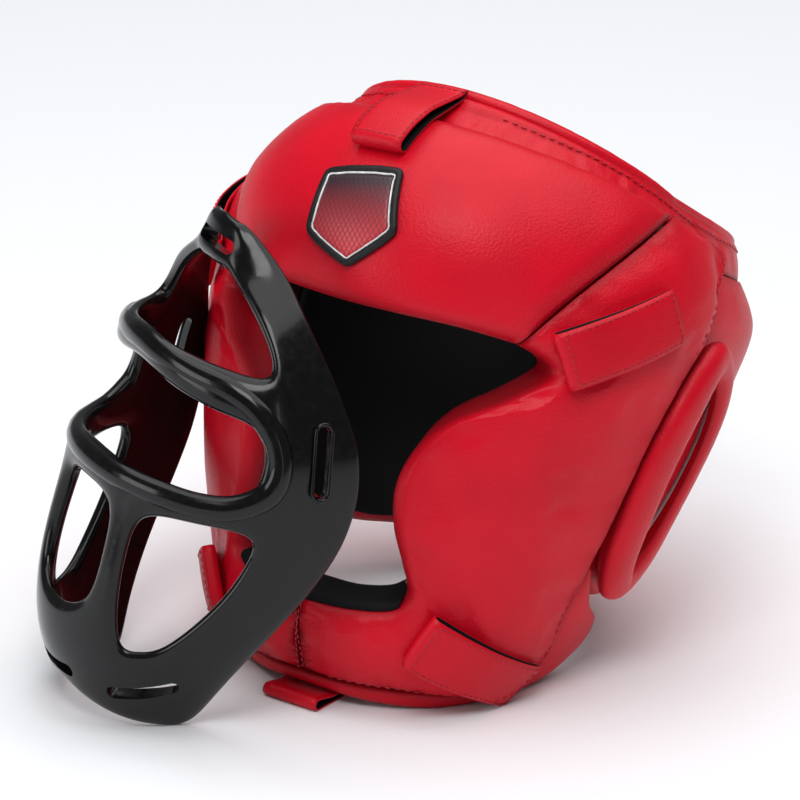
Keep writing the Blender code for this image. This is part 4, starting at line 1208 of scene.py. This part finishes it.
def shield_outline(inset):
    """Closed outline of the shield, inset evenly, as (x, y) in metres."""
    half = [(w * BADGE_WIDTH / 2, (h - 0.5) * BADGE_HEIGHT) for h, w in BADGE_OUTLINE]
    full = half + [(-x, y) for x, y in reversed(half)]
    fine = []
    for index, (x, y) in enumerate(full):
        nx, ny = full[(index + 1) % len(full)]
        pieces = max(1, int(math.hypot(nx - x, ny - y) / 0.0016))
        fine += [(x + (nx - x) * i / pieces, y + (ny - y) * i / pieces) for i in range(pieces)]
    result = []
    for index, (x, y) in enumerate(fine):
        px, py = fine[index - 3]
        nx, ny = fine[(index + 3) % len(fine)]
        length = math.hypot(nx - px, ny - py)
        result.append((x - (ny - py) / length * inset, y + (nx - px) / length * inset))
    return result


def shield_ring(name, profile, look):
    """A closed band that follows the shield's outline. The profile is (inset, height) pairs."""
    rings = [[badge_spot(x, y, up) for x, y in shield_outline(inset)] for inset, up in profile]
    count = len(rings[0])
    points = [point for ring in rings for point in ring]
    faces = []
    for ring in range(len(rings)):
        after = (ring + 1) % len(rings)
        for index in range(count):
            beside = (index + 1) % count
            faces.append((ring * count + index, ring * count + beside,
                          after * count + beside, after * count + index))
    return finish_piece(make_piece(name, points, faces, [look]), "rubber")


border = shield_ring("badge_border", [(0.0, 0.0006), (0.0, 0.0022), (0.0007, 0.0030), (0.0026, 0.0030),
                                      (0.0031, 0.0024), (0.0031, 0.0006)], badge_rubber)
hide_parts("badge")
shield_ring("badge_line", [(0.0032, 0.0008), (0.0032, 0.0027), (0.0038, 0.0027), (0.0038, 0.0008)],
            badge_line_rubber)

# %% Badge field
FIELD_RINGS = 10
FIELD_TOP = 0.0023
FIELD_CROWN = 0.0004
NET_CELLS = 420.0
rim_line = shield_outline(0.0039)
field_points, down_values, net_places = [], [], []
for layer_up in (FIELD_TOP, 0.0008):
    for ring in range(FIELD_RINGS):
        scale = 1 - ring / FIELD_RINGS
        for x, y in rim_line:
            crown_up = FIELD_CROWN * (1 - scale ** 2) if layer_up == FIELD_TOP else 0.0
            field_points.append(badge_spot(x * scale, y * scale, layer_up + crown_up))
            down_values.append(min(1.0, max(0.0, 0.5 - y * scale / BADGE_HEIGHT * 1.5)))
            net_places.append(((x + y * 0.6) * scale * NET_CELLS, (x - y * 0.6) * scale * NET_CELLS, 0.0))
    net_places.append((0.0, 0.0, 0.0))
    field_points.append(badge_spot(0.0, 0.0, layer_up + (FIELD_CROWN if layer_up == FIELD_TOP else 0.0)))
    down_values.append(0.5)
count = len(rim_line)
layer_size = FIELD_RINGS * count + 1
faces = []
for layer in (0, 1):
    first = layer * layer_size
    for ring in range(FIELD_RINGS - 1):
        for index in range(count):
            beside = (index + 1) % count
            faces.append((first + ring * count + index, first + ring * count + beside,
                          first + (ring + 1) * count + beside, first + (ring + 1) * count + index))
    last_ring = first + (FIELD_RINGS - 1) * count
    faces += [(last_ring + i, last_ring + (i + 1) % count, first + layer_size - 1)
              for i in range(count)]
faces += [(i, (i + 1) % count, layer_size + (i + 1) % count, layer_size + i) for i in range(count)]
field = make_piece("badge_field", field_points, faces, [badge_field])
layer = field.data.attributes.new("down", "FLOAT", "POINT")
layer.data.foreach_set("value", down_values)
layer = field.data.attributes.new("net_place", "FLOAT_VECTOR", "POINT")
layer.data.foreach_set("vector", [value for place in net_places for value in place])
finish_piece(field, "rubber")

# %% [markdown]
# ## Stitches
# Every seam shows a row of short thread stitches. A Geometry Nodes tree places one small rounded
# stitch again and again along a path, turned along it, which is far quicker than modelling each.

# %% Geometry Nodes tree for a row of stitches
stitch_tree = bpy.data.node_groups.new("stitch_row", "GeometryNodeTree")
stitch_tree.is_modifier = True
face = stitch_tree.interface
face.new_socket("Path", in_out="INPUT", socket_type="NodeSocketGeometry")
stitch_sockets = {}
for label, value in (("Stitch length", 0.0030), ("Stitch gap", 0.0014), ("Thread radius", 0.00045)):
    socket = face.new_socket(label, in_out="INPUT", socket_type="NodeSocketFloat")
    socket.default_value = value
    stitch_sockets[label] = socket.identifier
socket = face.new_socket("Thread", in_out="INPUT", socket_type="NodeSocketMaterial")
stitch_sockets["Thread"] = socket.identifier
face.new_socket("Stitches", in_out="OUTPUT", socket_type="NodeSocketGeometry")
group_in = stitch_tree.nodes.new("NodeGroupInput").outputs
group_out = stitch_tree.nodes.new("NodeGroupOutput")


def tree_step(kind, inputs, **settings):
    """Adds a node, feeds its inputs sockets or numbers, and gives its first output."""
    node = stitch_tree.nodes.new(kind)
    for label, value in settings.items():
        setattr(node, label, value)
    for label, value in inputs.items():
        if isinstance(value, (int, float)):
            node.inputs[label].default_value = value
        else:
            stitch_tree.links.new(value, node.inputs[label])
    return node.outputs[0]


curve = tree_step("GeometryNodeMeshToCurve", {"Mesh": group_in["Path"]})
pitch = tree_step("ShaderNodeMath", {0: group_in["Stitch length"], 1: group_in["Stitch gap"]})
spaced = tree_step("GeometryNodeResampleCurve", {"Curve": curve, "Length": pitch}, mode="LENGTH")
bead = tree_step("GeometryNodeMeshUVSphere", {"Segments": 7, "Rings": 5, "Radius": 1.0})
half_length = tree_step("ShaderNodeMath", {0: group_in["Stitch length"], 1: 0.5},
                        operation="MULTIPLY")
sizes = tree_step("ShaderNodeCombineXYZ", {"X": half_length, "Y": group_in["Thread radius"],
                                           "Z": group_in["Thread radius"]})
stitch = tree_step("GeometryNodeTransform", {"Geometry": bead, "Scale": sizes})
tangent = tree_step("GeometryNodeInputTangent", {})
turned = tree_step("FunctionNodeAlignRotationToVector", {"Vector": tangent}, axis="X")
copies = tree_step("GeometryNodeInstanceOnPoints",
                   {"Points": spaced, "Instance": stitch, "Rotation": turned})
real = tree_step("GeometryNodeRealizeInstances", {"Geometry": copies})
finished = tree_step("GeometryNodeSetMaterial", {"Geometry": real, "Material": group_in["Thread"]})
stitch_tree.links.new(finished, group_out.inputs["Stitches"])
print("stitch tree", len(stitch_tree.nodes), "nodes")


# %% Rows of stitches
def stitch_rows(name, paths, length=0.0030, gap=0.0014, radius=0.00045):
    """One mesh of stitches along several lists of points."""
    mesh = bpy.data.meshes.new(name)
    points = [point for path in paths for point in path]
    edges, first = [], 0
    for path in paths:
        edges += [(first + i, first + i + 1) for i in range(len(path) - 1)]
        first += len(path)
    mesh.from_pydata(points, edges, [])
    piece = bpy.data.objects.new(name, mesh)
    scene.collection.objects.link(piece)
    rows = piece.modifiers.new("rows", "NODES")
    rows.node_group = stitch_tree
    for label, value in (("Stitch length", length), ("Stitch gap", gap), ("Thread radius", radius),
                         ("Thread", thread)):
        rows[stitch_sockets[label]] = value
    graph = bpy.context.evaluated_depsgraph_get()
    piece.data = bpy.data.meshes.new_from_object(piece.evaluated_get(graph))
    piece.modifiers.clear()
    piece.data.shade_smooth()
    print(name, len(piece.data.polygons), "faces")
    return finish_piece(piece, "leather")


# %% Paths over everything that is sewn
sewn = tree_over(list(pads.values()) + list(straps.values()))


def path_on(spots, steps=1, above=0.0001):
    """World points along straight stretches between (turn, height) spots, on the sewn pieces."""
    points = []
    for (t0, h0), (t1, h1) in zip(spots, spots[1:]):
        for index in range(steps):
            part = index / steps
            points.append(on_tree(sewn, t0 + (t1 - t0) * part, h0 + (h1 - h0) * part, above))
    points.append(on_tree(sewn, *spots[-1], above))
    return points


# %% Stitches along the pads' seams
def beside_edge(table, share, first, last):
    """Spots a little inside edge B of a table, between two of its places."""
    count = int((last - first) * 10)
    return [row_spot(table, first + (last - first) * i / count, share) for i in range(count + 1)]


seam_paths = []
for sign in (1.0, -1.0):
    seam_paths.append(path_on(beside_edge(side_table(sign), 0.955, 1.2, 3.3)))
    seam_paths.append(path_on(beside_edge(side_table(sign), 0.965, 8.2, 11.6)))
rim_turns = [360.0 * i / 240 for i in range(14, 227)]
seam_paths.append(path_on([(turn, pad_top(turn) * (1 - HEM_SHARE) + rim_height(turn) * HEM_SHARE)
                           for turn in rim_turns]))
stitch_rows("seam_stitches", seam_paths)

# %% Stitches round the straps
def strap_path(corners, sign, inset=0.055):
    """Stitch path just inside a strap's edges and across its two ends."""
    return path_on([strap_spot(corners, sign, *place) for place in (
        (0.030, inset), (0.985, inset), (0.985, 1 - inset), (0.030, 1 - inset), (0.030, inset))],
        steps=30)


strap_rows = [strap_path(STRAP_CORNERS[kind], sign) for kind in ("cheek", "jaw") for sign in (1.0, -1.0)]
strap_rows.append(strap_path(STRAP_CORNERS["top"], 1.0))
stitch_rows("strap_stitches", strap_rows, length=0.0024, gap=0.0010, radius=0.00038)

# %% Zigzag down the chin's middle
CHIN_TEETH = 22
zigzag = path_on([(0.9 if i % 2 else -0.9, 0.118 - 0.112 * i / CHIN_TEETH)
                  for i in range(CHIN_TEETH + 1)], above=0.0004)
stitch_rows("chin_zigzag", [zigzag], length=0.0026, gap=0.0003, radius=0.00038)

# %% [markdown]
# ## Black binding at the mouth
# The lining is turned over the upper edge of the chin, where it shows as a thin black roll.

# %% Mouth binding
mouth_rows = mirrored_table([(a[0], a[1], a[0], a[1], 0.0) for a in FACE_EDGE])
first_place, last_place = 9.2, 2 * (len(FACE_EDGE) - 1) - 9.2
BINDING_STEPS = 90
BINDING_SINK = 0.0150
BINDING_DEPTH = 0.0125
BINDING_HEIGHT = 0.0030
binding_spots = [row_spot(mouth_rows, first_place + (last_place - first_place) * i / BINDING_STEPS, 0.0)
                 for i in range(BINDING_STEPS + 1)]
rotation = guard_place.to_3x3()
centres, sides = [], []
for index, (turn, height) in enumerate(binding_spots):
    ends = min(1.0, index / 8 + 0.15, (BINDING_STEPS - index) / 8 + 0.15)
    centres.append(lifted(turn, height, -BINDING_SINK))
    upward = rotation @ (surface(turn, height + 0.01) - surface(turn, height - 0.01)).normalized()
    sides.append((rotation @ outward(turn, height) * BINDING_DEPTH * ends,
                  upward * BINDING_HEIGHT * ends, 0.55))
points, faces = sweep(centres, lambda i: sides[i], 12, closed=False)
finish_piece(make_piece("mouth_binding", points, faces, [lining_cloth]), "lining")

# %% [markdown]
# ## The face grill
# One hard moulding, 226 mm tall. It is built as a coarse cage of cells between its openings, made
# smooth by subdivision. A round bar is then laid along its two cross pieces, which meet in a C on
# each wing. The strap slots are cut out last, and thin lips follow the two on the wings.

# %% Sizes and sections of the grill
GRILL_HEIGHT = 0.226
GRILL_HALF_WIDTH = 0.080
GRILL_REACH = 0.111
GRILL_WALL = 0.0042
BAR_WALL = 0.0105
SLOT_LENGTH = 0.032
SLOT_WIDTH = 0.0065
GRILL_TURN = math.radians(-28.5)
GRILL_PLACE = (-0.0812, -0.1670)
FRONT_SHIFT = 0.0088
LIP_SHIFT = -0.0030
SHIFT_FROM = 0.015
SHIFT_OVER = 0.10
# Middle level and reach back, half width, wing level and reach back, as shares
GRILL_ROWS = [
    (0.996, 0.69, 0.15, 0.987, 0.72), (0.935, 0.67, 0.31, 0.935, 0.80),
    (0.886, 0.60, 0.45, 0.891, 0.84), (0.830, 0.48, 0.60, 0.838, 0.86),
    (0.782, 0.35, 0.71, 0.795, 0.88), (0.725, 0.315, 0.84, 0.725, 0.93),
    (0.638, 0.21, 0.95, 0.638, 0.98), (0.555, 0.11, 1.00, 0.563, 1.00),
    (0.489, 0.08, 1.00, 0.493, 0.98), (0.349, 0.02, 0.96, 0.389, 0.91),
    (0.205, 0.00, 0.86, 0.266, 0.76), (0.140, 0.036, 0.70, 0.144, 0.60),
    (0.083, 0.10, 0.49, 0.004, 0.48),
]
# Middle row, rear row, turns of five columns, share of the bar's extra wall
GRILL_CAGE = [
    (0.00, 0.00, 15, 30, 45, 60, 72, 0.6), (0.90, 0.90, 12, 24, 36, 50, 66, 0.6),
    (1.70, 1.80, 8, 15, 21, 27, 58, 0.9), (2.40, 2.40, 14, 24, 35, 46, 66, 0.9),
    (3.20, 3.30, 16, 30, 46, 62, 73, 0.9), (3.95, 4.85, 18, 32, 50, 67, 75, 1.0),
    (5.05, 5.80, 18, 32, 46, 59, 72, 1.0), (6.00, 6.60, 18, 32, 46, 61.5, 72, 1.0),
    (6.90, 7.70, 18, 30, 45, 59, 71, 1.0), (8.05, 8.40, 17, 26, 45, 64, 72, 1.0),
    (8.90, 8.90, 19, 27, 45, 64, 73, 0.8), (9.75, 9.60, 21, 31, 47, 63, 73, 0.7),
    (10.60, 10.50, 20, 38, 46, 54, 70, 0.6), (11.45, 11.35, 18, 34, 46, 57, 70, 0.4),
    (12.00, 12.00, 18, 34, 46, 58, 72, 0.4),
]
# First row, last row, first column, last column of each opening, on one half
GRILL_OPENINGS = [(2, 5, 0, 4), (6, 8, 0, 4), (9, 11, 0, 1), (9, 12, 2, 4)]
# Turn, row and slant of each strap slot
GRILL_SLOTS = [(0.0, 0.95, 0.0), (0.0, 11.45, 0.0), (77.5, 6.55, 84.0), (-77.5, 6.55, -84.0),
               (54.0, 11.3, 14.0), (-54.0, 11.3, -14.0)]
LIPPED_SLOTS = (2, 3)
# Turn and row along the round bars, from the front over the upper bar to the lower bar
GRILL_BAR = [(0.0, 4.50), (16.0, 4.68), (32.0, 4.90), (46.0, 5.08), (56.0, 5.38), (62.5, 5.85),
             (65.5, 6.45), (65.5, 7.00), (62.5, 7.50), (55.0, 7.85), (45.0, 7.88), (32.0, 7.74),
             (16.0, 7.56), (0.0, 7.45)]


# %% Surface of the grill
def grill_surface(turn, row):
    """Point of the grill's middle skin, standing straight at the origin."""
    level, back, half, wing_level, wing_back = smooth_through(GRILL_ROWS, row)
    angle = math.radians(turn)
    sweep_back = 1 - math.cos(angle)
    return Vector((half * GRILL_HALF_WIDTH * math.sin(angle),
                   (back + (wing_back - back) * sweep_back) * GRILL_REACH,
                   (level + (wing_level - level) * abs(math.sin(angle))) * GRILL_HEIGHT))


def grill_normal(turn, row):
    """Unit vector that points out of the grill."""
    along = grill_surface(turn + 1.5, row) - grill_surface(turn - 1.5, row)
    rise = (grill_surface(turn, max(row - 0.1, 0.0))
            - grill_surface(turn, min(row + 0.1, len(GRILL_ROWS) - 1.0)))
    return along.cross(rise).normalized()


# %% Cage of the grill
def grill_cage():
    """Points and faces of the coarse cage."""
    turns = []
    for cage in GRILL_CAGE:
        half = [0.0] + [float(turn) for turn in cage[2:7]] + [90.0]
        turns.append([-turn for turn in reversed(half[1:])] + half)
    rows, columns = len(GRILL_CAGE), len(turns[0])
    middle, rear = columns // 2, 4

    def open_cell(row, column):
        side = column - middle if column >= middle else middle - 1 - column
        return any(first <= row < last and start <= side < end
                   for first, last, start, end in GRILL_OPENINGS)

    points = []
    for layer in (0.5, -0.5):
        for row, cage in enumerate(GRILL_CAGE):
            for column in range(columns):
                turn = turns[row][column]
                part = min(abs(turn) / turns[row][middle + rear], 1.0)
                section = cage[0] + (cage[1] - cage[0]) * part
                front = 1.0 if abs(column - middle) <= rear else 0.0
                wall = GRILL_WALL + (BAR_WALL - GRILL_WALL) * cage[7] * front
                points.append(grill_surface(turn, section) + grill_normal(turn, section) * wall * layer)
    faces = []

    def at(layer, row, column):
        return (layer * rows + row) * columns + column

    for row in range(rows - 1):
        for column in range(columns - 1):
            if open_cell(row, column):
                continue
            for layer in (0, 1):
                faces.append((at(layer, row, column), at(layer, row, column + 1),
                              at(layer, row + 1, column + 1), at(layer, row + 1, column)))
            for beside, first, second in (((row - 1, column), (row, column), (row, column + 1)),
                                          ((row + 1, column), (row + 1, column), (row + 1, column + 1)),
                                          ((row, column - 1), (row, column), (row + 1, column)),
                                          ((row, column + 1), (row, column + 1), (row + 1, column + 1))):
                if (not 0 <= beside[0] < rows - 1 or not 0 <= beside[1] < columns - 1
                        or open_cell(*beside)):
                    faces.append((at(0, *first), at(0, *second), at(1, *second), at(1, *first)))
    return points, faces


# %% Slots of the grill
def slot_frame(turn, row, slant):
    """Centre, long way, short way and normal of a slot."""
    centre, normal = grill_surface(turn, row), grill_normal(turn, row)
    level = (grill_surface(turn + 2.0, row) - grill_surface(turn - 2.0, row)).normalized()
    rise = normal.cross(level)
    long_way = level * math.cos(math.radians(slant)) + rise * math.sin(math.radians(slant))
    return centre, long_way, normal.cross(long_way), normal


def stadium(length, width, steps):
    """Outline of a round-ended slot as (along, across)."""
    straight = (length - width) / 2
    outline = []
    for end in (1, -1):
        for corner in range(steps + 1):
            angle = math.pi * corner / steps - math.pi / 2
            outline.append((end * (straight + width / 2 * math.cos(angle)),
                            end * width / 2 * math.sin(angle)))
    return outline


def slot_cutters(depth=0.012, steps=8):
    """One object of plugs, one for each slot."""
    shape = bmesh.new()
    for turn, row, slant in GRILL_SLOTS:
        centre, long_way, short_way, normal = slot_frame(turn, row, slant)
        rings = [[shape.verts.new(centre + long_way * a + short_way * b + normal * out)
                  for a, b in stadium(SLOT_LENGTH, SLOT_WIDTH, steps)] for out in (-depth, depth)]
        count = len(rings[0])
        for index in range(count):
            beside = (index + 1) % count
            shape.faces.new((rings[0][index], rings[0][beside], rings[1][beside], rings[1][index]))
        shape.faces.new(rings[0])
        shape.faces.new(rings[1])
    bmesh.ops.recalc_face_normals(shape, faces=shape.faces)
    mesh = bpy.data.meshes.new("slot_cutters")
    shape.to_mesh(mesh)
    shape.free()
    cutter = bpy.data.objects.new("slot_cutters", mesh)
    scene.collection.objects.link(cutter)
    return cutter


# %% Build the grill
def evaluated_copy(piece, name):
    """Replaces a piece's mesh by its evaluated one and clears its modifiers."""
    graph = bpy.context.evaluated_depsgraph_get()
    fresh = bpy.data.meshes.new_from_object(piece.evaluated_get(graph))
    fresh.name = name
    piece.modifiers.clear()
    piece.data = fresh
    return piece


points, faces = grill_cage()
grill = make_piece("face_grill_moulding", points, faces, [grill_plastic])
loose = bmesh.new()
loose.from_mesh(grill.data)
bmesh.ops.delete(loose, geom=[v for v in loose.verts if not v.link_faces], context="VERTS")
loose.to_mesh(grill.data)
loose.free()
smooth = grill.modifiers.new("smooth", "SUBSURF")
smooth.levels = 4
smooth.render_levels = smooth.levels
evaluated_copy(grill, "face_grill_moulding")

# %% Round bar of the grill
BAR_RADIUS = 0.0050
BAR_BREADTH = 0.0060
BAR_PROUD = 0.0006
BAR_STEPS = 240
ring = GRILL_BAR + [(-t, r) for t, r in reversed(GRILL_BAR[1:-1])]
bar_centres, bar_sides = [], []
closed_ring = [ring[-1]] + ring + [ring[0], ring[1]]
for index in range(BAR_STEPS):
    place = 1 + index * len(ring) / BAR_STEPS
    turn, row = smooth_through(closed_ring, place)
    ahead = smooth_through(closed_ring, place + 0.05)
    behind = smooth_through(closed_ring, place - 0.05)
    normal = grill_normal(turn, row)
    along = (grill_surface(*ahead) - grill_surface(*behind)).normalized()
    bar_centres.append(grill_surface(turn, row) + normal * BAR_PROUD)
    bar_sides.append((along.cross(normal).normalized() * BAR_BREADTH, normal * BAR_RADIUS))
bar_points, bar_faces = sweep(bar_centres, lambda i: bar_sides[i], 16)
bar = make_piece("grill_bar", bar_points, bar_faces, [grill_plastic])

# %% Raised lips round the slots
LIP_RADIUS = 0.0009
LIP_SPACE = 0.0016
lip_points, lip_faces = [], []
for turn, row, slant in [GRILL_SLOTS[number] for number in LIPPED_SLOTS]:
    centre, long_way, short_way, normal = slot_frame(turn, row, slant)
    outline = stadium(SLOT_LENGTH + LIP_SPACE, SLOT_WIDTH + LIP_SPACE, 10)
    lip_centres = [centre + long_way * a + short_way * b + normal * GRILL_WALL * 0.46
                   for a, b in outline]
    lip_sides = []
    for index, (a, b) in enumerate(outline):
        na, nb = outline[(index + 1) % len(outline)]
        pa, pb = outline[index - 1]
        along = (long_way * (na - pa) + short_way * (nb - pb)).normalized()
        lip_sides.append((along.cross(normal).normalized() * LIP_RADIUS, normal * LIP_RADIUS))
    some_points, some_faces = sweep(lip_centres, lambda i: lip_sides[i], 8)
    first = len(lip_points)
    lip_points += some_points
    lip_faces += [tuple(first + k for k in f) for f in some_faces]
lips = make_piece("grill_lips", lip_points, lip_faces, [grill_plastic])

# %% Cut the slots, join and stand the grill
cutter = slot_cutters()
for piece in (grill, lips):
    cut = piece.modifiers.new("slots", "BOOLEAN")
    cut.operation = "DIFFERENCE"
    cut.object = cutter
    cut.solver = "EXACT"
evaluated_copy(grill, "face_grill_moulding")
evaluated_copy(lips, "grill_lips")
bpy.data.objects.remove(cutter, do_unlink=True)
with bpy.context.temp_override(active_object=grill, selected_editable_objects=[grill, bar, lips]):
    bpy.ops.object.join()
for vertex in grill.data.vertices:
    shift = LIP_SHIFT + (FRONT_SHIFT - LIP_SHIFT) * eased((vertex.co.z - SHIFT_FROM) / SHIFT_OVER)
    vertex.co.y += shift * (1 - vertex.co.y / GRILL_REACH)
grill.data.materials.clear()
grill.data.materials.append(grill_plastic)
lowest = min(vertex.co.z for vertex in grill.data.vertices)
stand = (Matrix.Translation((GRILL_PLACE[0], GRILL_PLACE[1], -lowest))
         @ Matrix.Rotation(GRILL_TURN, 4, "Z"))
grill.data.transform(stand)
grill.data.shade_smooth()
grill.data.set_sharp_from_angle(angle=math.radians(50.0))
finish_piece(grill, "plastic", "face_grill")
print("grill faces", len(grill.data.polygons))

# %% [markdown]
# ## Floor and lights
# A pale floor runs on into the distance under one very large soft light. A smaller key above the
# face lifts the forehead, a soft fill comes from the left, and a narrow strip on the right draws
# thin highlights on the glossy grill.

# %% Floor
floor_mesh = bpy.data.meshes.new("floor")
FLOOR = 6.0
floor_mesh.from_pydata([(-FLOOR, -FLOOR, 0.0), (FLOOR, -FLOOR, 0.0), (FLOOR, FLOOR, 0.0),
                        (-FLOOR, FLOOR, 0.0)], [], [(0, 1, 2, 3)])
floor = bpy.data.objects.new("floor", floor_mesh)
scene.collection.objects.link(floor)
floor_paint, nodes, links, shader = make_material("floor_paint")
shader.inputs["Base Color"].default_value = (0.90, 0.915, 0.94, 1.0)
shader.inputs["Roughness"].default_value = 0.7
shader.inputs["Specular IOR Level"].default_value = 0.2
floor_mesh.materials.append(floor_paint)

# %% Lights
world = bpy.data.worlds.new("studio")
world.use_nodes = True
world.node_tree.nodes["Background"].inputs["Color"].default_value = (0.95, 0.97, 1.0, 1.0)
world.node_tree.nodes["Background"].inputs["Strength"].default_value = 0.14
scene.world = world
LIGHT_AIM = Vector((-0.02, 0.0, 0.12))


def area_light(name, spot, size, watts, tall=None):
    """A rectangular soft light aimed at the guard."""
    data = bpy.data.lights.new(name, "AREA")
    data.energy = watts
    data.shape = "RECTANGLE"
    data.size = size
    data.size_y = tall or size
    item = bpy.data.objects.new(name, data)
    item.location = spot
    item.rotation_euler = (Vector(spot) - LIGHT_AIM).to_track_quat("Z", "Y").to_euler()
    scene.collection.objects.link(item)


area_light("overhead", (0.0, 0.4, 2.6), 3.4, 86.0)
area_light("key", (0.40, -0.95, 1.45), 0.6, 9.0)
area_light("fill", (-0.75, -1.35, 0.45), 0.7, 6.0)
area_light("strip", (1.25, -1.2, 0.35), 0.10, 0.8, tall=1.0)
scene.view_settings.view_transform = "Standard"
